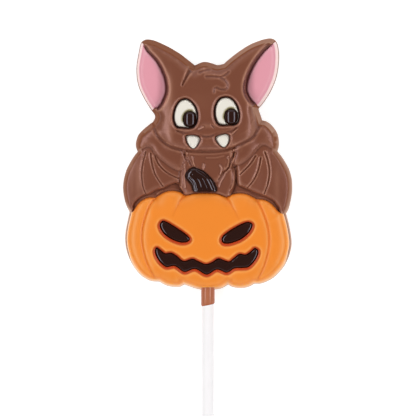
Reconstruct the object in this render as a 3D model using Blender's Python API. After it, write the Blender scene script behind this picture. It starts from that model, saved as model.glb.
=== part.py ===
"""Chocolate lollipop: a moulded bat that holds a pumpkin, lying on its flat back, with a round stick.

The relief faces +Z, the ears point to +Y and the origin is the centre of the flat back.
Sizes below are in millimetres and are turned into metres when a mesh is made.
"""
import math

import bmesh
import bpy
import numpy as np
from mathutils import Vector
from mathutils.geometry import delaunay_2d_cdt

MM = 0.001

# Driving dimensions of the moulded body: side wall height and draft, gap between pieces,
# height of the strip above the pumpkin and height of the pumpkin's seat
RIM = 6.0
DRAFT = 1.35
GAP = 0.3
STRIP = 4.7
SEAT = 3.2

# Driving dimensions of the stick and of the chocolate neck that runs down on it
STICK_RADIUS = 2.15
STICK_AXIS = (-0.15, 2.9)
STICK_TOP = 0.0
STICK_LENGTH = 150.0
BORE_RADIUS = 2.4
NECK_RADIUS = 2.6
NECK_TOP = -40.5
NECK_END = -50.7
MOUTH_OF_LIP = -47.0

# Back outline, counter-clockwise, as strokes that meet at the notches of the silhouette
LEFT_EAR = [
    (-4.9, 34.9), (-7.2, 36.7), (-10.2, 39.0), (-14.2, 41.4), (-18.7, 43.5), (-21.1, 44.1), (-22.8, 44.0),
    (-24.2, 42.8), (-24.9, 39.8), (-25.6, 36.0), (-25.8, 33.0), (-25.5, 29.4), (-24.6, 26.2),
    (-22.8, 22.6), (-20.7, 19.2), (-19.3, 17.2), (-19.2, 16.0), (-19.9, 14.7),
]
LEFT_SHOULDER = [
    (-19.9, 14.7), (-21.5, 13.5), (-23.5, 11.8), (-25.1, 10.0), (-25.9, 7.8), (-26.0, 5.9), (-25.4, 4.0),
]
LEFT_WING = [
    (-25.4, 4.0), (-26.8, 2.2), (-28.3, -0.3), (-29.5, -2.8), (-30.4, -6.3), (-30.6, -9.4),
    (-30.2, -12.4), (-29.5, -15.0), (-28.3, -17.6),
]
PUMPKIN_LEFT_SIDE = [
    (-28.3, -17.6), (-29.0, -20.7), (-29.7, -24.2), (-29.9, -27.7), (-29.4, -31.2), (-28.2, -34.6),
    (-26.4, -37.7), (-24.0, -40.4), (-20.9, -42.2), (-17.7, -42.5),
]
PUMPKIN_BOTTOM = [
    [(-17.7, -42.5), (-15.0, -43.9), (-12.2, -44.4), (-10.2, -44.3), (-8.7, -43.5)],
    [(-8.7, -43.5), (-5.3, -44.7), (-3.0, -45.3), (-0.5, -45.5), (2.3, -45.3), (4.8, -44.8), (7.0, -43.5)],
    [(7.0, -43.5), (8.7, -44.4), (11.6, -44.8), (14.3, -44.3), (16.4, -43.2)],
]
PUMPKIN_RIGHT_SIDE = [
    (16.4, -43.2), (18.8, -43.1), (21.0, -42.3), (23.1, -41.1), (25.1, -39.2), (27.0, -36.9),
    (28.6, -33.7), (29.5, -30.6), (29.7, -28.2), (29.4, -25.4), (28.8, -22.2), (28.2, -19.8),
    (27.7, -18.1),
]
RIGHT_WING = [
    (27.7, -18.1), (28.5, -16.7), (29.1, -14.6), (29.7, -11.5), (29.9, -8.7), (29.7, -5.6), (28.9, -2.6),
    (27.6, 0.0), (25.9, 2.6), (24.6, 4.2),
]
RIGHT_SHOULDER = [
    (24.6, 4.2), (25.1, 6.0), (25.1, 8.2), (24.6, 10.5), (23.4, 12.5), (21.9, 14.1), (20.4, 15.0),
    (19.2, 15.2),
]
RIGHT_EAR = [
    (19.2, 15.2), (18.7, 16.8), (18.1, 18.4), (17.9, 19.4), (18.3, 19.9), (19.1, 20.8), (20.4, 22.6),
    (22.3, 25.7), (24.0, 29.7), (24.9, 33.7), (25.2, 37.7), (25.0, 40.8), (24.4, 43.0), (23.3, 44.2),
    (21.6, 44.5), (18.8, 43.9), (14.8, 42.3), (11.1, 40.0), (7.8, 37.5), (5.4, 35.4),
]
HEAD_TOP = [(5.4, 35.4), (3.2, 35.0), (1.6, 35.5), (-0.8, 36.1), (-2.6, 35.9), (-4.9, 34.9)]

# Where the coloured layers meet the side wall
LEFT_EAR_TIP, LEFT_EAR_FOOT = (-23.9, 43.3), (-20.3, 18.6)
RIGHT_EAR_FOOT, RIGHT_EAR_TIP = (18.3, 19.9), (24.2, 43.3)

# Inner borders of the coloured layers, each from one end on the side wall to the other
LEFT_EAR_BORDER = [
    (-22.5, 41.2), (-21.2, 39.4), (-20.0, 38.2), (-18.4, 36.4), (-17.1, 34.3), (-16.1, 32.1),
    (-15.4, 30.2), (-15.0, 28.0), (-14.9, 26.4), (-15.2, 24.6), (-16.1, 22.4), (-16.9, 20.9),
    (-17.8, 19.8),
]
RIGHT_EAR_BORDER = [
    (16.6, 21.3), (15.6, 22.2), (14.5, 23.8), (13.8, 25.4), (13.6, 27.0), (13.9, 29.0), (14.5, 31.1),
    (15.3, 33.0), (16.4, 35.1), (18.0, 37.5), (19.8, 39.7), (21.6, 41.5),
]
PUMPKIN_TOP = [
    [(-26.0, -16.0), (-25.0, -14.5), (-23.4, -13.1), (-21.0, -12.2), (-18.8, -12.4)],
    [(-18.8, -12.4), (-17.2, -11.2), (-15.2, -10.2), (-12.7, -9.8), (-10.2, -10.3), (-8.2, -11.5)],
    [(-8.2, -11.5), (-5.0, -10.7), (-1.3, -10.5), (2.8, -10.7), (5.0, -11.3), (6.5, -12.0)],
    [(6.5, -12.0), (8.4, -11.2), (11.0, -10.7), (13.6, -11.0), (15.6, -11.9), (17.3, -12.9)],
    [(17.3, -12.9), (19.3, -12.9), (21.2, -13.5), (23.1, -15.0), (24.9, -17.1)],
]

# Inlays of the bat
LEFT_SOCKET = [
    (-8.0, 23.3), (-10.2, 22.5), (-11.7, 20.4), (-12.5, 17.6), (-12.4, 14.9), (-11.2, 12.8), (-9.2, 12.4),
    (-6.6, 12.3), (-4.6, 13.0), (-3.5, 15.2), (-3.4, 17.8), (-4.2, 20.4), (-5.9, 22.4),
]
RIGHT_SOCKET = [
    (6.6, 24.0), (4.3, 23.4), (2.8, 21.6), (2.1, 19.0), (2.2, 16.5), (3.1, 14.2), (4.8, 13.3),
    (7.2, 13.4), (9.6, 13.6), (11.0, 14.6), (11.5, 16.9), (11.2, 19.3), (10.2, 21.6), (8.6, 23.3),
]
PUPIL_HALF_WIDTH, PUPIL_HALF_HEIGHT = 2.3, 2.85
LEFT_PUPIL, RIGHT_PUPIL = (-6.4, 15.75), (8.3, 16.6)
LEFT_FANG = [
    (-7.8, 10.0), (-5.2, 10.2), (-3.1, 9.7), (-2.5, 8.6), (-2.9, 7.3), (-3.9, 5.9), (-5.2, 5.1),
    (-6.5, 5.9), (-7.6, 7.3), (-8.0, 8.8),
]
RIGHT_FANG = [
    (2.8, 9.7), (4.6, 10.4), (6.4, 10.7), (7.6, 10.3), (8.0, 9.0), (7.7, 7.5), (6.9, 6.3), (5.7, 5.6),
    (4.2, 6.3), (3.1, 7.5), (2.5, 8.8),
]
STEM = [
    (-7.7, -3.3), (-6.6, -2.0), (-5.2, -1.4), (-3.4, -1.9), (-1.6, -2.7), (0.0, -4.0), (1.4, -5.5),
    (2.5, -7.3), (3.2, -9.2), (2.8, -10.0), (0.0, -10.0), (-3.0, -10.0), (-5.3, -9.9), (-5.8, -8.3),
    (-6.7, -6.9), (-7.8, -5.6), (-8.1, -4.5),
]
STEM_RIDGES = [
    [(-6.6, -5.2), (-5.2, -6.6), (-4.4, -9.4)],
    [(-5.8, -3.9), (-3.4, -6.0), (-2.2, -9.4)],
    [(-5.0, -3.0), (-1.9, -5.4), (-0.1, -9.4)],
    [(-3.9, -2.6), (-0.3, -5.2), (1.8, -9.2)],
]

# Inlays of the pumpkin
PUMPKIN_LEFT_EYE = [
    (-16.2, -20.4), (-14.6, -20.8), (-12.2, -22.2), (-9.4, -24.0), (-7.2, -25.7), (-6.4, -27.0),
    (-7.3, -28.0), (-9.4, -28.3), (-12.2, -27.5), (-15.0, -25.8), (-16.7, -23.8), (-17.3, -21.8),
]
PUMPKIN_RIGHT_EYE = [
    (14.6, -20.8), (12.6, -21.2), (9.4, -22.8), (6.8, -24.5), (5.1, -26.1), (4.8, -27.6), (5.9, -28.6),
    (8.4, -28.4), (11.6, -27.2), (14.2, -25.2), (15.6, -23.2), (15.9, -21.6),
]
PUMPKIN_MOUTH = [
    (-18.2, -29.9), (-16.6, -31.0), (-15.2, -32.0), (-13.2, -31.8), (-11.2, -32.8), (-8.7, -34.7),
    (-5.6, -33.9), (-3.6, -34.7), (-0.8, -35.8), (1.6, -35.0), (3.8, -33.8), (7.3, -34.9), (9.0, -33.8),
    (11.2, -32.2), (13.4, -32.4), (15.2, -31.3), (16.6, -30.1), (17.9, -30.8), (17.9, -32.4),
    (16.8, -34.6), (14.6, -36.9), (12.2, -37.3), (9.4, -37.5), (6.7, -39.0), (3.2, -37.9), (-0.5, -39.7),
    (-4.6, -37.7), (-8.3, -38.8), (-10.6, -37.4), (-12.2, -36.6), (-14.9, -37.0), (-17.2, -35.2),
    (-18.6, -32.9), (-19.0, -31.0),
]

# Creases of the relief: points, depth, half-width
CHIN = [
    (-19.6, 13.4), (-18.5, 10.6), (-16.9, 8.5), (-15.0, 6.9), (-13.0, 5.8), (-10.5, 5.0), (-8.0, 4.5),
    (-4.5, 4.2), (0.0, 4.1), (4.0, 4.3), (7.0, 4.8), (9.5, 5.7), (12.0, 6.9), (14.6, 8.3), (16.5, 9.8),
    (17.7, 12.0), (18.9, 14.8),
]
SMILE = [
    (-10.8, 11.6), (-8.8, 10.9), (-5.0, 10.5), (-0.4, 9.5), (3.6, 10.5), (6.6, 11.1), (8.6, 11.6),
    (10.3, 12.7),
]
EAR_CREASE = [(-5.9, 33.6), (-7.1, 31.9), (-8.1, 30.0), (-9.1, 27.8)]
HAIR_CREASES = [
    [(-0.5, 31.0), (2.0, 31.0), (4.4, 30.8), (6.0, 31.4), (7.4, 32.6)],
    [(4.6, 30.5), (6.0, 29.7), (6.9, 28.6), (7.0, 27.2), (6.2, 26.4), (4.6, 26.4), (3.1, 27.0), (2.3, 26.4),
     (2.2, 25.4)],
    [(-3.0, 32.4), (-1.4, 33.1), (0.6, 33.4)],
]
LEFT_RIBS = [
    [(-22.3, 4.0), (-23.3, 0.0), (-23.7, -4.0), (-23.3, -8.0), (-22.3, -10.8)],
    [(-20.5, 3.6), (-20.0, 0.0), (-18.8, -4.0), (-16.2, -8.2)],
    [(-19.0, 2.7), (-17.5, -0.5), (-14.5, -3.4), (-10.6, -5.4)],
]
RIGHT_RIBS = [
    [(20.3, 4.0), (21.3, 1.0), (21.9, -3.0), (21.4, -7.0), (20.1, -10.8)],
    [(18.8, 2.0), (18.0, -2.0), (16.2, -6.0), (14.0, -8.8)],
    [(17.0, 2.7), (15.0, -0.3), (11.4, -4.0)],
]
FUR_CREASES = [
    [(4.1, -0.3), (4.8, -1.9), (4.6, -3.6)],
    [(7.1, 2.5), (7.3, 0.5), (6.7, -1.3)],
    [(-5.6, 2.4), (-5.4, 0.9), (-4.6, -0.7)],
    [(-1.6, -0.1), (-1.7, -1.7)],
]

# Plates of the brown relief, lowest first; their outer stretches lie beyond the silhouette
LEFT_WING_PLATE = [
    (-27.7, -18.4), (-26.7, -15.0), (-25.3, -13.2), (-23.4, -11.8), (-21.0, -11.1), (-18.2, -9.6),
    (-16.2, -9.2), (-14.0, -8.0), (-11.6, -7.1), (-9.9, -7.2), (-9.9, 2.0), (-16.0, 8.0), (-34.0, 8.0),
    (-34.0, -18.4),
]
RIGHT_WING_PLATE = [
    (26.7, -18.4), (25.0, -15.7), (23.0, -13.3), (20.7, -12.1), (17.7, -11.0), (15.4, -10.0),
    (12.7, -8.8), (10.6, -7.6), (10.1, -3.0), (10.2, 2.0), (16.0, 8.0), (34.0, 8.0), (34.0, -18.4),
]
TORSO_PLATE = [(-11.0, -0.6), (-5.0, -1.2), (5.0, -1.2), (10.6, -0.4), (11.5, 7.0), (0.0, 8.0), (-11.5, 7.0)]
BELLY_PLATE = [
    (-10.1, -2.0), (-10.2, -6.4), (-10.4, -8.4), (-8.9, -10.2), (-7.6, -11.6), (7.0, -12.6), (8.4, -10.4),
    (9.2, -8.8), (9.7, -6.5), (9.6, -3.8), (9.0, -1.2), (8.0, 4.0), (-8.0, 4.0),
]
LEFT_ARM_PLATE = [
    (-28.0, 4.0), (-25.4, 4.2), (-23.5, 4.9), (-21.8, 5.8), (-20.4, 5.5), (-19.4, 4.0), (-18.0, 2.3),
    (-16.2, 0.7), (-14.0, -1.0), (-12.2, -2.1), (-10.2, -2.8), (-8.4, -1.6), (-7.4, 1.2), (-8.3, 4.0),
    (-8.0, 9.0), (-14.0, 12.0), (-19.0, 18.0), (-30.0, 18.0),
]
RIGHT_ARM_PLATE = [
    (28.0, 4.2), (24.7, 4.4), (22.6, 5.2), (20.9, 6.2), (19.4, 6.4), (17.9, 5.2), (16.2, 3.2),
    (14.4, 1.5), (12.4, 0.0), (10.2, -0.8), (8.6, 0.2), (8.4, 1.6), (9.2, 3.2), (9.0, 9.0), (14.0, 12.0),
    (19.0, 18.0), (30.0, 18.0),
]
CHEST_PLATE = [
    (-8.4, 5.5), (-8.2, 2.9), (-7.4, 1.4), (-6.4, 0.8), (-6.1, -0.4), (-5.4, -1.4), (-2.0, -4.0),
    (0.6, -6.4), (3.4, -6.8), (4.5, -5.7), (5.3, -4.3), (5.9, -2.9), (7.0, -2.2), (7.7, -1.0), (7.9, 0.9),
    (8.9, 2.2), (9.2, 3.5), (8.8, 5.5),
]
HEAD_PLATE = CHIN + [(28.0, 18.0), (30.0, 50.0), (-30.0, 50.0), (-28.0, 16.0)]

# Each plate: outline, height at its edge, height inside, width of the rounded edge
PLATES = [
    (LEFT_WING_PLATE, 5.1, 6.5, 1.6),
    (RIGHT_WING_PLATE, 5.1, 6.5, 1.6),
    (TORSO_PLATE, 6.0, 6.5, 0.6),
    (BELLY_PLATE, 5.4, 7.2, 1.6),
    (LEFT_ARM_PLATE, 6.2, 7.7, 2.6),
    (RIGHT_ARM_PLATE, 6.2, 7.7, 2.6),
    (CHEST_PLATE, 6.6, 7.8, 1.5),
    (HEAD_PLATE, 6.9, 8.7, 3.6),
]

# Soft swellings and hollows: centre x, centre y, radius x, radius y, height
SWELLINGS = [
    (0.0, 12.0, 14.0, 7.5, 0.8),
    (-0.4, 13.4, 3.0, 1.3, 0.6),
    (1.0, 28.0, 6.5, 3.4, 0.35),
    (-13.6, 11.0, 3.0, 3.0, 0.3),
    (13.0, 12.6, 3.0, 3.0, 0.3),
    (-21.5, 41.0, 8.0, 10.0, -1.1),
    (22.0, 41.0, 8.0, 10.0, -1.1),
    (-24.0, 6.0, 3.0, 6.0, -0.5),
    (24.0, 6.0, 3.0, 6.0, -0.5),
    (-20.8, -5.0, 4.6, 9.0, 0.9),
    (21.2, -5.0, 4.6, 9.0, 0.9),
]

# The dome of the face: its height and where it rises from the left, from the right, below and above
DOME = 0.9
DOME_LEFT, DOME_RIGHT, DOME_BELOW, DOME_ABOVE = (-17.3, -12.4), (18.2, 13.4), (2.0, 8.0), (36.0, 28.0)

# The pumpkin's face, and its grooves: points and depths at both ends
FACE_EDGE, FACE_TOP, FACE_WIDTH = 6.0, 8.9, 9.0
GROOVES = [
    ([(-18.8, -12.4), (-20.7, -14.8), (-22.4, -19.0), (-23.5, -23.5), (-23.6, -28.0), (-22.8, -32.5),
      (-21.2, -37.0), (-19.0, -40.8), (-17.6, -42.4)], 0.9, 0.7),
    ([(-8.2, -11.5), (-9.8, -13.3), (-11.2, -15.8), (-12.4, -18.6)], 0.9, 0.0),
    ([(6.5, -12.0), (8.2, -14.6), (9.8, -17.3), (11.0, -20.0)], 0.9, 0.0),
    ([(17.3, -12.9), (19.2, -16.3), (20.9, -20.8), (21.8, -25.5), (21.7, -30.2), (20.3, -36.0),
      (18.2, -40.6), (16.5, -43.2)], 0.9, 0.7),
    ([(-8.7, -43.5), (-9.6, -42.3), (-10.6, -41.0)], 0.8, 0.0),
    ([(7.0, -43.5), (7.9, -42.2), (8.6, -41.0)], 0.8, 0.0),
]
GROOVE_WIDTH = 1.8
RECESS, RECESS_WIDTH = 0.9, 0.8
EDGE_ROUNDING = 3.2

# Heights of floors and tops of the inlays
SOCKET_FLOOR, EYE_EDGE, EYE_TOP, PUPIL_EDGE, PUPIL_TOP = 7.9, 8.9, 9.4, 8.9, 10.1
FANG_FLOOR, FANG_EDGE, FANG_TOP = 7.8, 8.8, 9.4
PUPIL_CLEARANCE = 0.5
STEM_FLOOR, STEM_EDGE, STEM_TOP = 6.0, 7.0, 9.0
HOLE_FLOOR, FILL_EDGE, FILL_TOP = 6.5, 7.2, 7.9
EAR_SEAT, EAR_SPLIT, EAR_FACE, EAR_RIM, EAR_BEVEL = 4.2, 1.0, 6.0, 5.2, 1.0
LIP, EAR_LIP = 2.5, 1.6
PUMPKIN_SPLIT_LOW, PUMPKIN_SPLIT_START, PUMPKIN_SPLIT_END = 0.6, -36.0, -31.0

# Fineness of the meshes: spacing of the points in the open, spacing along curves, distances of the
# extra lines from the forms that they follow and how near to a border such a line may come
PITCH = 1.35
STEP = 1.3
EDGE_LINES = (0.7, 2.0)
CREASE_SIDE = 2.2
GROOVE_SIDE = 1.0
PLATE_SHOULDER = 0.45
SOCKET_RIDGE = 0.7
INLAY_SHOULDER = 0.7
RIDGE_SIDE = 0.5
EDGE_MARGIN, SEAT_MARGIN, INLAY_MARGIN = 0.45, 0.5, 0.25
SHARPEST_SINE = 0.3
SMOOTH_BELOW = math.radians(32.0)


# Curves and distances
def smooth(points, step=STEP, closed=False):
    """A curve through the points, sampled about every step."""
    p = np.array(points, float)
    ends = (p[-1:], p[:2]) if closed else (2 * p[:1] - p[1:2], 2 * p[-1:] - p[-2:-1])
    p = np.concatenate([ends[0], p, ends[1]])
    found = []
    for a, b, c, d in zip(p, p[1:], p[2:], p[3:]):
        count = max(1, round(math.dist(b, c) / step))
        t = (np.arange(count) / count)[:, None]
        square = (2 * a - 5 * b + 4 * c - d) * t**2
        cube = (3 * b - a - 3 * c + d) * t**3
        found.append(0.5 * (2 * b + (c - a) * t + square + cube))
    if not closed:
        found.append(p[-2:-1])
    return np.concatenate(found)


def closed_line(points, step=STEP):
    """A closed curve through the points, counter-clockwise."""
    line = smooth(points, step, closed=True)
    after = np.roll(line, -1, axis=0)
    area = (line[:, 0] * after[:, 1] - line[:, 1] * after[:, 0]).sum()
    return line if area > 0 else line[::-1]


def normals(line, closed):
    """The left-hand normal at each point, longer at a corner so that an offset keeps its width."""
    ahead = np.roll(line, -1, axis=0) - line
    if not closed:
        ahead[-1] = ahead[-2]
    ahead /= np.linalg.norm(ahead, axis=1, keepdims=True)
    behind = np.roll(ahead, 1, axis=0)
    if not closed:
        behind[0] = ahead[0]
    total = ahead + behind
    length = np.linalg.norm(total, axis=1, keepdims=True)
    unit = total / length
    stretch = np.clip(2 / length, 1, 1.4)
    return np.stack([-unit[:, 1], unit[:, 0]], axis=1) * stretch


def offset(line, distance, closed=False):
    return line + normals(line, closed) * distance


def distance_to(line, points, closed=False, values=None):
    """Distance from each point to the line, and the value at the nearest place on it."""
    a = line if closed else line[:-1]
    b = np.roll(line, -1, axis=0) if closed else line[1:]
    best = np.full(len(points), 1e9)
    value = np.zeros(len(points))
    for k, (start, end) in enumerate(zip(a, b)):
        along = end - start
        t = np.clip((points - start) @ along / (along @ along), 0, 1)
        gap = np.linalg.norm(points - start - t[:, None] * along, axis=1)
        nearer = gap < best
        best[nearer] = gap[nearer]
        if values is not None:
            value[nearer] = (values[k] + (values[k + 1] - values[k]) * t)[nearer]
    return best if values is None else (best, value)


def inside(line, points):
    """Whether each point is inside the closed line."""
    x, y = points[:, 0], points[:, 1]
    found = np.zeros(len(points), bool)
    for (x0, y0), (x1, y1) in zip(line, np.roll(line, -1, axis=0)):
        if y0 != y1:
            crosses = (y0 > y) != (y1 > y)
            found ^= crosses & (x < x0 + (x1 - x0) * (y - y0) / (y1 - y0))
    return found


def clipped(line, ring, margin, seats=()):
    """The stretches of a line that stay clear of the ring, inside it and outside the seats."""
    kept = inside(ring, line) & (distance_to(ring, line, closed=True) > margin)
    for seat in seats:
        kept &= ~inside(seat, line) & (distance_to(seat, line, closed=True) > SEAT_MARGIN)
    turns = np.flatnonzero(np.diff(np.concatenate([[0], kept.astype(int), [0]])))
    return [line[start:end] for start, end in zip(turns[::2], turns[1::2]) if end - start > 1]


def ended(line):
    """A closed line with its first point repeated at its end."""
    return np.concatenate([line, line[:1]])


def rounded(depth, width):
    """A quarter round: 0 at the edge, 1 from width inwards."""
    return np.sqrt(1 - (1 - np.clip(depth / width, 0, 1)) ** 2)


def smoothstep(low, high, value):
    t = np.clip((value - low) / (high - low), 0, 1)
    return t * t * (3 - 2 * t)


# The ring of the body: its back outline and the lean of its wall
STROKES = [
    LEFT_EAR, LEFT_SHOULDER, LEFT_WING, PUMPKIN_LEFT_SIDE, *PUMPKIN_BOTTOM, PUMPKIN_RIGHT_SIDE, RIGHT_WING,
    RIGHT_SHOULDER, RIGHT_EAR, HEAD_TOP,
]
BACK = np.concatenate([smooth(stroke)[:-1] for stroke in STROKES])
LEAN = normals(BACK, True) * DRAFT
FRONT = BACK + LEAN


def ring_index(place):
    return int(np.argmin(np.linalg.norm(BACK - place, axis=1)))


def ring_stretch(first, last):
    """Indices of the ring's points from one place to another, counter-clockwise."""
    start, end = ring_index(first), ring_index(last)
    return [k % len(BACK) for k in range(start, end + (len(BACK) if end < start else 0) + 1)]


class Layer:
    """A coloured layer that is open to the side wall: its stretch of the ring and its inner border."""

    def __init__(self, first, last, inner, lip, split, seat):
        self.stretch = ring_stretch(first, last)
        self.border = inner
        self.lip = lip
        self.split = split
        self.seat_height = seat
        ends = FRONT[self.stretch[-1]], FRONT[self.stretch[0]]
        self.step = np.concatenate([[ends[0]], offset(inner, -GAP), [ends[1]]])
        self.region = np.concatenate([FRONT[self.stretch], self.step[1:-1]])
        self.inset = self.inset_line()

    def inset_line(self):
        """The line behind the lip, where the seat becomes flat."""
        line = FRONT[self.stretch] + LEAN[self.stretch] / DRAFT * self.lip
        kept = inside(self.region, line) & (distance_to(self.step, line) > 0.8)
        return line[kept]

    def seat(self, points):
        """The surface that parts this layer from the brown chocolate below it."""
        behind = np.clip(distance_to(FRONT[self.stretch], points) / self.lip, 0, 1)
        return self.split(points) + (self.seat_height - self.split(points)) * behind

    def outline(self):
        """The layer's own ring, a gap clear of the brown chocolate at its inner border, and its lean."""
        front = FRONT[self.stretch].copy()
        lean = LEAN[self.stretch].copy()
        for end, inner, meeting in ((0, 1, -1), (-1, -2, 0)):
            along = front[inner] - front[end]
            across = self.border[meeting] - front[end]
            length = np.linalg.norm(along)
            sine = abs(along[0] * across[1] - along[1] * across[0]) / (length * np.linalg.norm(across))
            share = min(0.9, GAP / max(sine, SHARPEST_SINE) / length)
            front[end] += along * share
            lean[end] += (lean[inner] - lean[end]) * share
        return (
            np.concatenate([front, self.border]),
            np.concatenate([lean, np.zeros_like(self.border)]),
        )


def pumpkin_split(points):
    rise = smoothstep(PUMPKIN_SPLIT_START, PUMPKIN_SPLIT_END, points[:, 1])
    return PUMPKIN_SPLIT_LOW + (SEAT - PUMPKIN_SPLIT_LOW) * rise


def ear_split(points):
    return np.full(len(points), EAR_SPLIT)


def border(strokes):
    """The strokes as one line, turned round so that it closes a counter-clockwise ring."""
    parts = [smooth(stroke)[:-1] for stroke in strokes] + [[strokes[-1][-1]]]
    return np.concatenate(parts)[::-1]


def ear_layer(first, last, edge):
    return Layer(first, last, border([edge]), EAR_LIP, ear_split, EAR_SEAT)


PUMPKIN = Layer(
    PUMPKIN_LEFT_SIDE[0], PUMPKIN_RIGHT_SIDE[-1], border(PUMPKIN_TOP), LIP, pumpkin_split, SEAT
)
LEFT_PINK = ear_layer(LEFT_EAR_TIP, LEFT_EAR_FOOT, LEFT_EAR_BORDER)
RIGHT_PINK = ear_layer(RIGHT_EAR_FOOT, RIGHT_EAR_TIP, RIGHT_EAR_BORDER)


# Heights of the relief
PLATE_LINES = [closed_line(plate[0]) for plate in PLATES]
SOCKETS = [closed_line(LEFT_SOCKET), closed_line(RIGHT_SOCKET)]
FANG_HOLES = [closed_line(LEFT_FANG), closed_line(RIGHT_FANG)]
STEM_HOLE = closed_line(STEM)
RIDGES = [smooth(line, STEP * 0.6) for line in STEM_RIDGES]
CREASES = (
    [(smooth(line), 0.5, 0.45) for line in LEFT_RIBS + RIGHT_RIBS]
    + [(smooth(line), 0.4, 0.4) for line in FUR_CREASES]
    + [(smooth(line), 0.45, 0.4) for line in HAIR_CREASES]
    + [(smooth(SMILE), 0.5, 0.5), (smooth(EAR_CREASE), 0.8, 0.7), (smooth(CHIN), 0.5, 0.6)]
)
HOLES = [closed_line(line) for line in (PUMPKIN_LEFT_EYE, PUMPKIN_RIGHT_EYE, PUMPKIN_MOUTH)]
GROOVE_LINES = [smooth(points) for points, _, _ in GROOVES]


def brown_height(points):
    z = np.full(len(points), STRIP)
    for (_, low, high, width), line in zip(PLATES, PLATE_LINES):
        depth = distance_to(line, points, closed=True)
        plate = low + (high - low) * rounded(depth, width)
        z = np.where(inside(line, points), np.maximum(z, plate), z)
    for x, y, wide, tall, height in SWELLINGS:
        z += height * np.exp(-(((points[:, 0] - x) / wide) ** 2) - ((points[:, 1] - y) / tall) ** 2)
    across = smoothstep(*DOME_LEFT, points[:, 0]) * smoothstep(*DOME_RIGHT, points[:, 0])
    z += DOME * across * smoothstep(*DOME_BELOW, points[:, 1]) * smoothstep(*DOME_ABOVE, points[:, 1])
    for line, depth, width in CREASES:
        near = distance_to(line, points) / width
        z += depth * (0.35 * np.exp(-((near - 2.2) ** 2)) - np.exp(-(near**2)))
    for line in SOCKETS + FANG_HOLES:
        z += 0.25 * np.exp(-((distance_to(line, points, closed=True) - 0.5) ** 2) / 0.16)
    edge = rounded(distance_to(FRONT, points, closed=True), EDGE_ROUNDING)
    return np.where(z > RIM, RIM + (z - RIM) * edge, z)


def pumpkin_height(points):
    outline = PUMPKIN.outline()[0]
    z = FACE_EDGE + (FACE_TOP - FACE_EDGE) * rounded(distance_to(outline, points, closed=True), FACE_WIDTH)
    for (_, first, last), line in zip(GROOVES, GROOVE_LINES):
        values = np.linspace(first, last, len(line))
        gap, depth = distance_to(line, points, values=values)
        z -= np.minimum(depth, z - FACE_EDGE + 0.3) * np.exp(-gap / GROOVE_WIDTH)
    for line in HOLES:
        near = distance_to(line, points, closed=True)
        z -= RECESS * (1 - smoothstep(0, RECESS_WIDTH, near))
    return z


def ear_height(layer):
    outline = layer.outline()[0]

    def height(points):
        depth = distance_to(outline, points, closed=True)
        return EAR_RIM + (EAR_FACE - EAR_RIM) * rounded(depth, EAR_BEVEL)

    return height


def domed(line, edge, top, width):
    return lambda points: edge + (top - edge) * rounded(distance_to(line, points, closed=True), width)


def stem_height(points):
    z = domed(STEM_HOLE, STEM_EDGE, STEM_TOP, 3.4)(points)
    for line in RIDGES:
        z -= 0.45 * np.exp(-((distance_to(line, points) / 0.45) ** 2))
    return z


def flat(height):
    return lambda points: np.full(len(points), height)


# Mesh making
def triangulated(ring, lines, loops, pitch):
    """Triangles over the ring's inside, following the lines and loops, with a grid of points between them."""
    places = [ring]
    edges = [(k, (k + 1) % len(ring)) for k in range(len(ring))]
    count = len(ring)
    for line, closed in [(line, False) for line in lines] + [(line, True) for line in loops]:
        places.append(line)
        last = len(line) if closed else len(line) - 1
        edges += [(count + k, count + (k + 1) % len(line)) for k in range(last)]
        count += len(line)
    if pitch:
        places.append(grid(ring, lines, loops, pitch))
    flat_points = [Vector(p) for p in np.concatenate(places)]
    points, _, faces, origin, _, _ = delaunay_2d_cdt(flat_points, edges, [], 0, 1e-5)
    points = np.array([tuple(p) for p in points])
    faces = np.array(faces)
    faces = faces[inside(ring, points[faces].mean(axis=1))]
    ring_of = {k: min(source) for k, source in enumerate(origin) if source and min(source) < len(ring)}
    return points, faces, ring_of


def grid(ring, lines, loops, pitch):
    """A triangular grid inside the ring that stays clear of every line."""
    low, high = ring.min(axis=0), ring.max(axis=0)
    rows = np.arange(low[1], high[1], pitch * math.sqrt(0.75))
    columns = np.arange(low[0], high[0], pitch)
    x = columns[None, :] + (np.arange(len(rows)) % 2)[:, None] * pitch / 2
    points = np.stack([x.ravel(), np.repeat(rows, len(columns))], axis=1)
    points = points[inside(ring, points)]
    clear = distance_to(ring, points, closed=True) > pitch * 0.6
    for line in lines:
        clear &= distance_to(line, points) > pitch * 0.55
    for line in loops:
        clear &= distance_to(line, points, closed=True) > pitch * 0.55
    return points[clear]


class Surface:
    """One side of a solid: a base height with regions that have heights of their own."""

    def __init__(self, ring, height, regions=(), lines=(), loops=(), pitch=None):
        self.points, self.faces, self.ring_of = triangulated(ring, lines, loops, pitch)
        centres = self.points[self.faces].mean(axis=1)
        self.region_of = np.zeros(len(self.faces), int)
        self.heights = [height(self.points)]
        for number, (outline, region_height) in enumerate(regions, 1):
            self.region_of[inside(outline, centres) & (self.region_of == 0)] = number
            self.heights.append(region_height(self.points))


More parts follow.
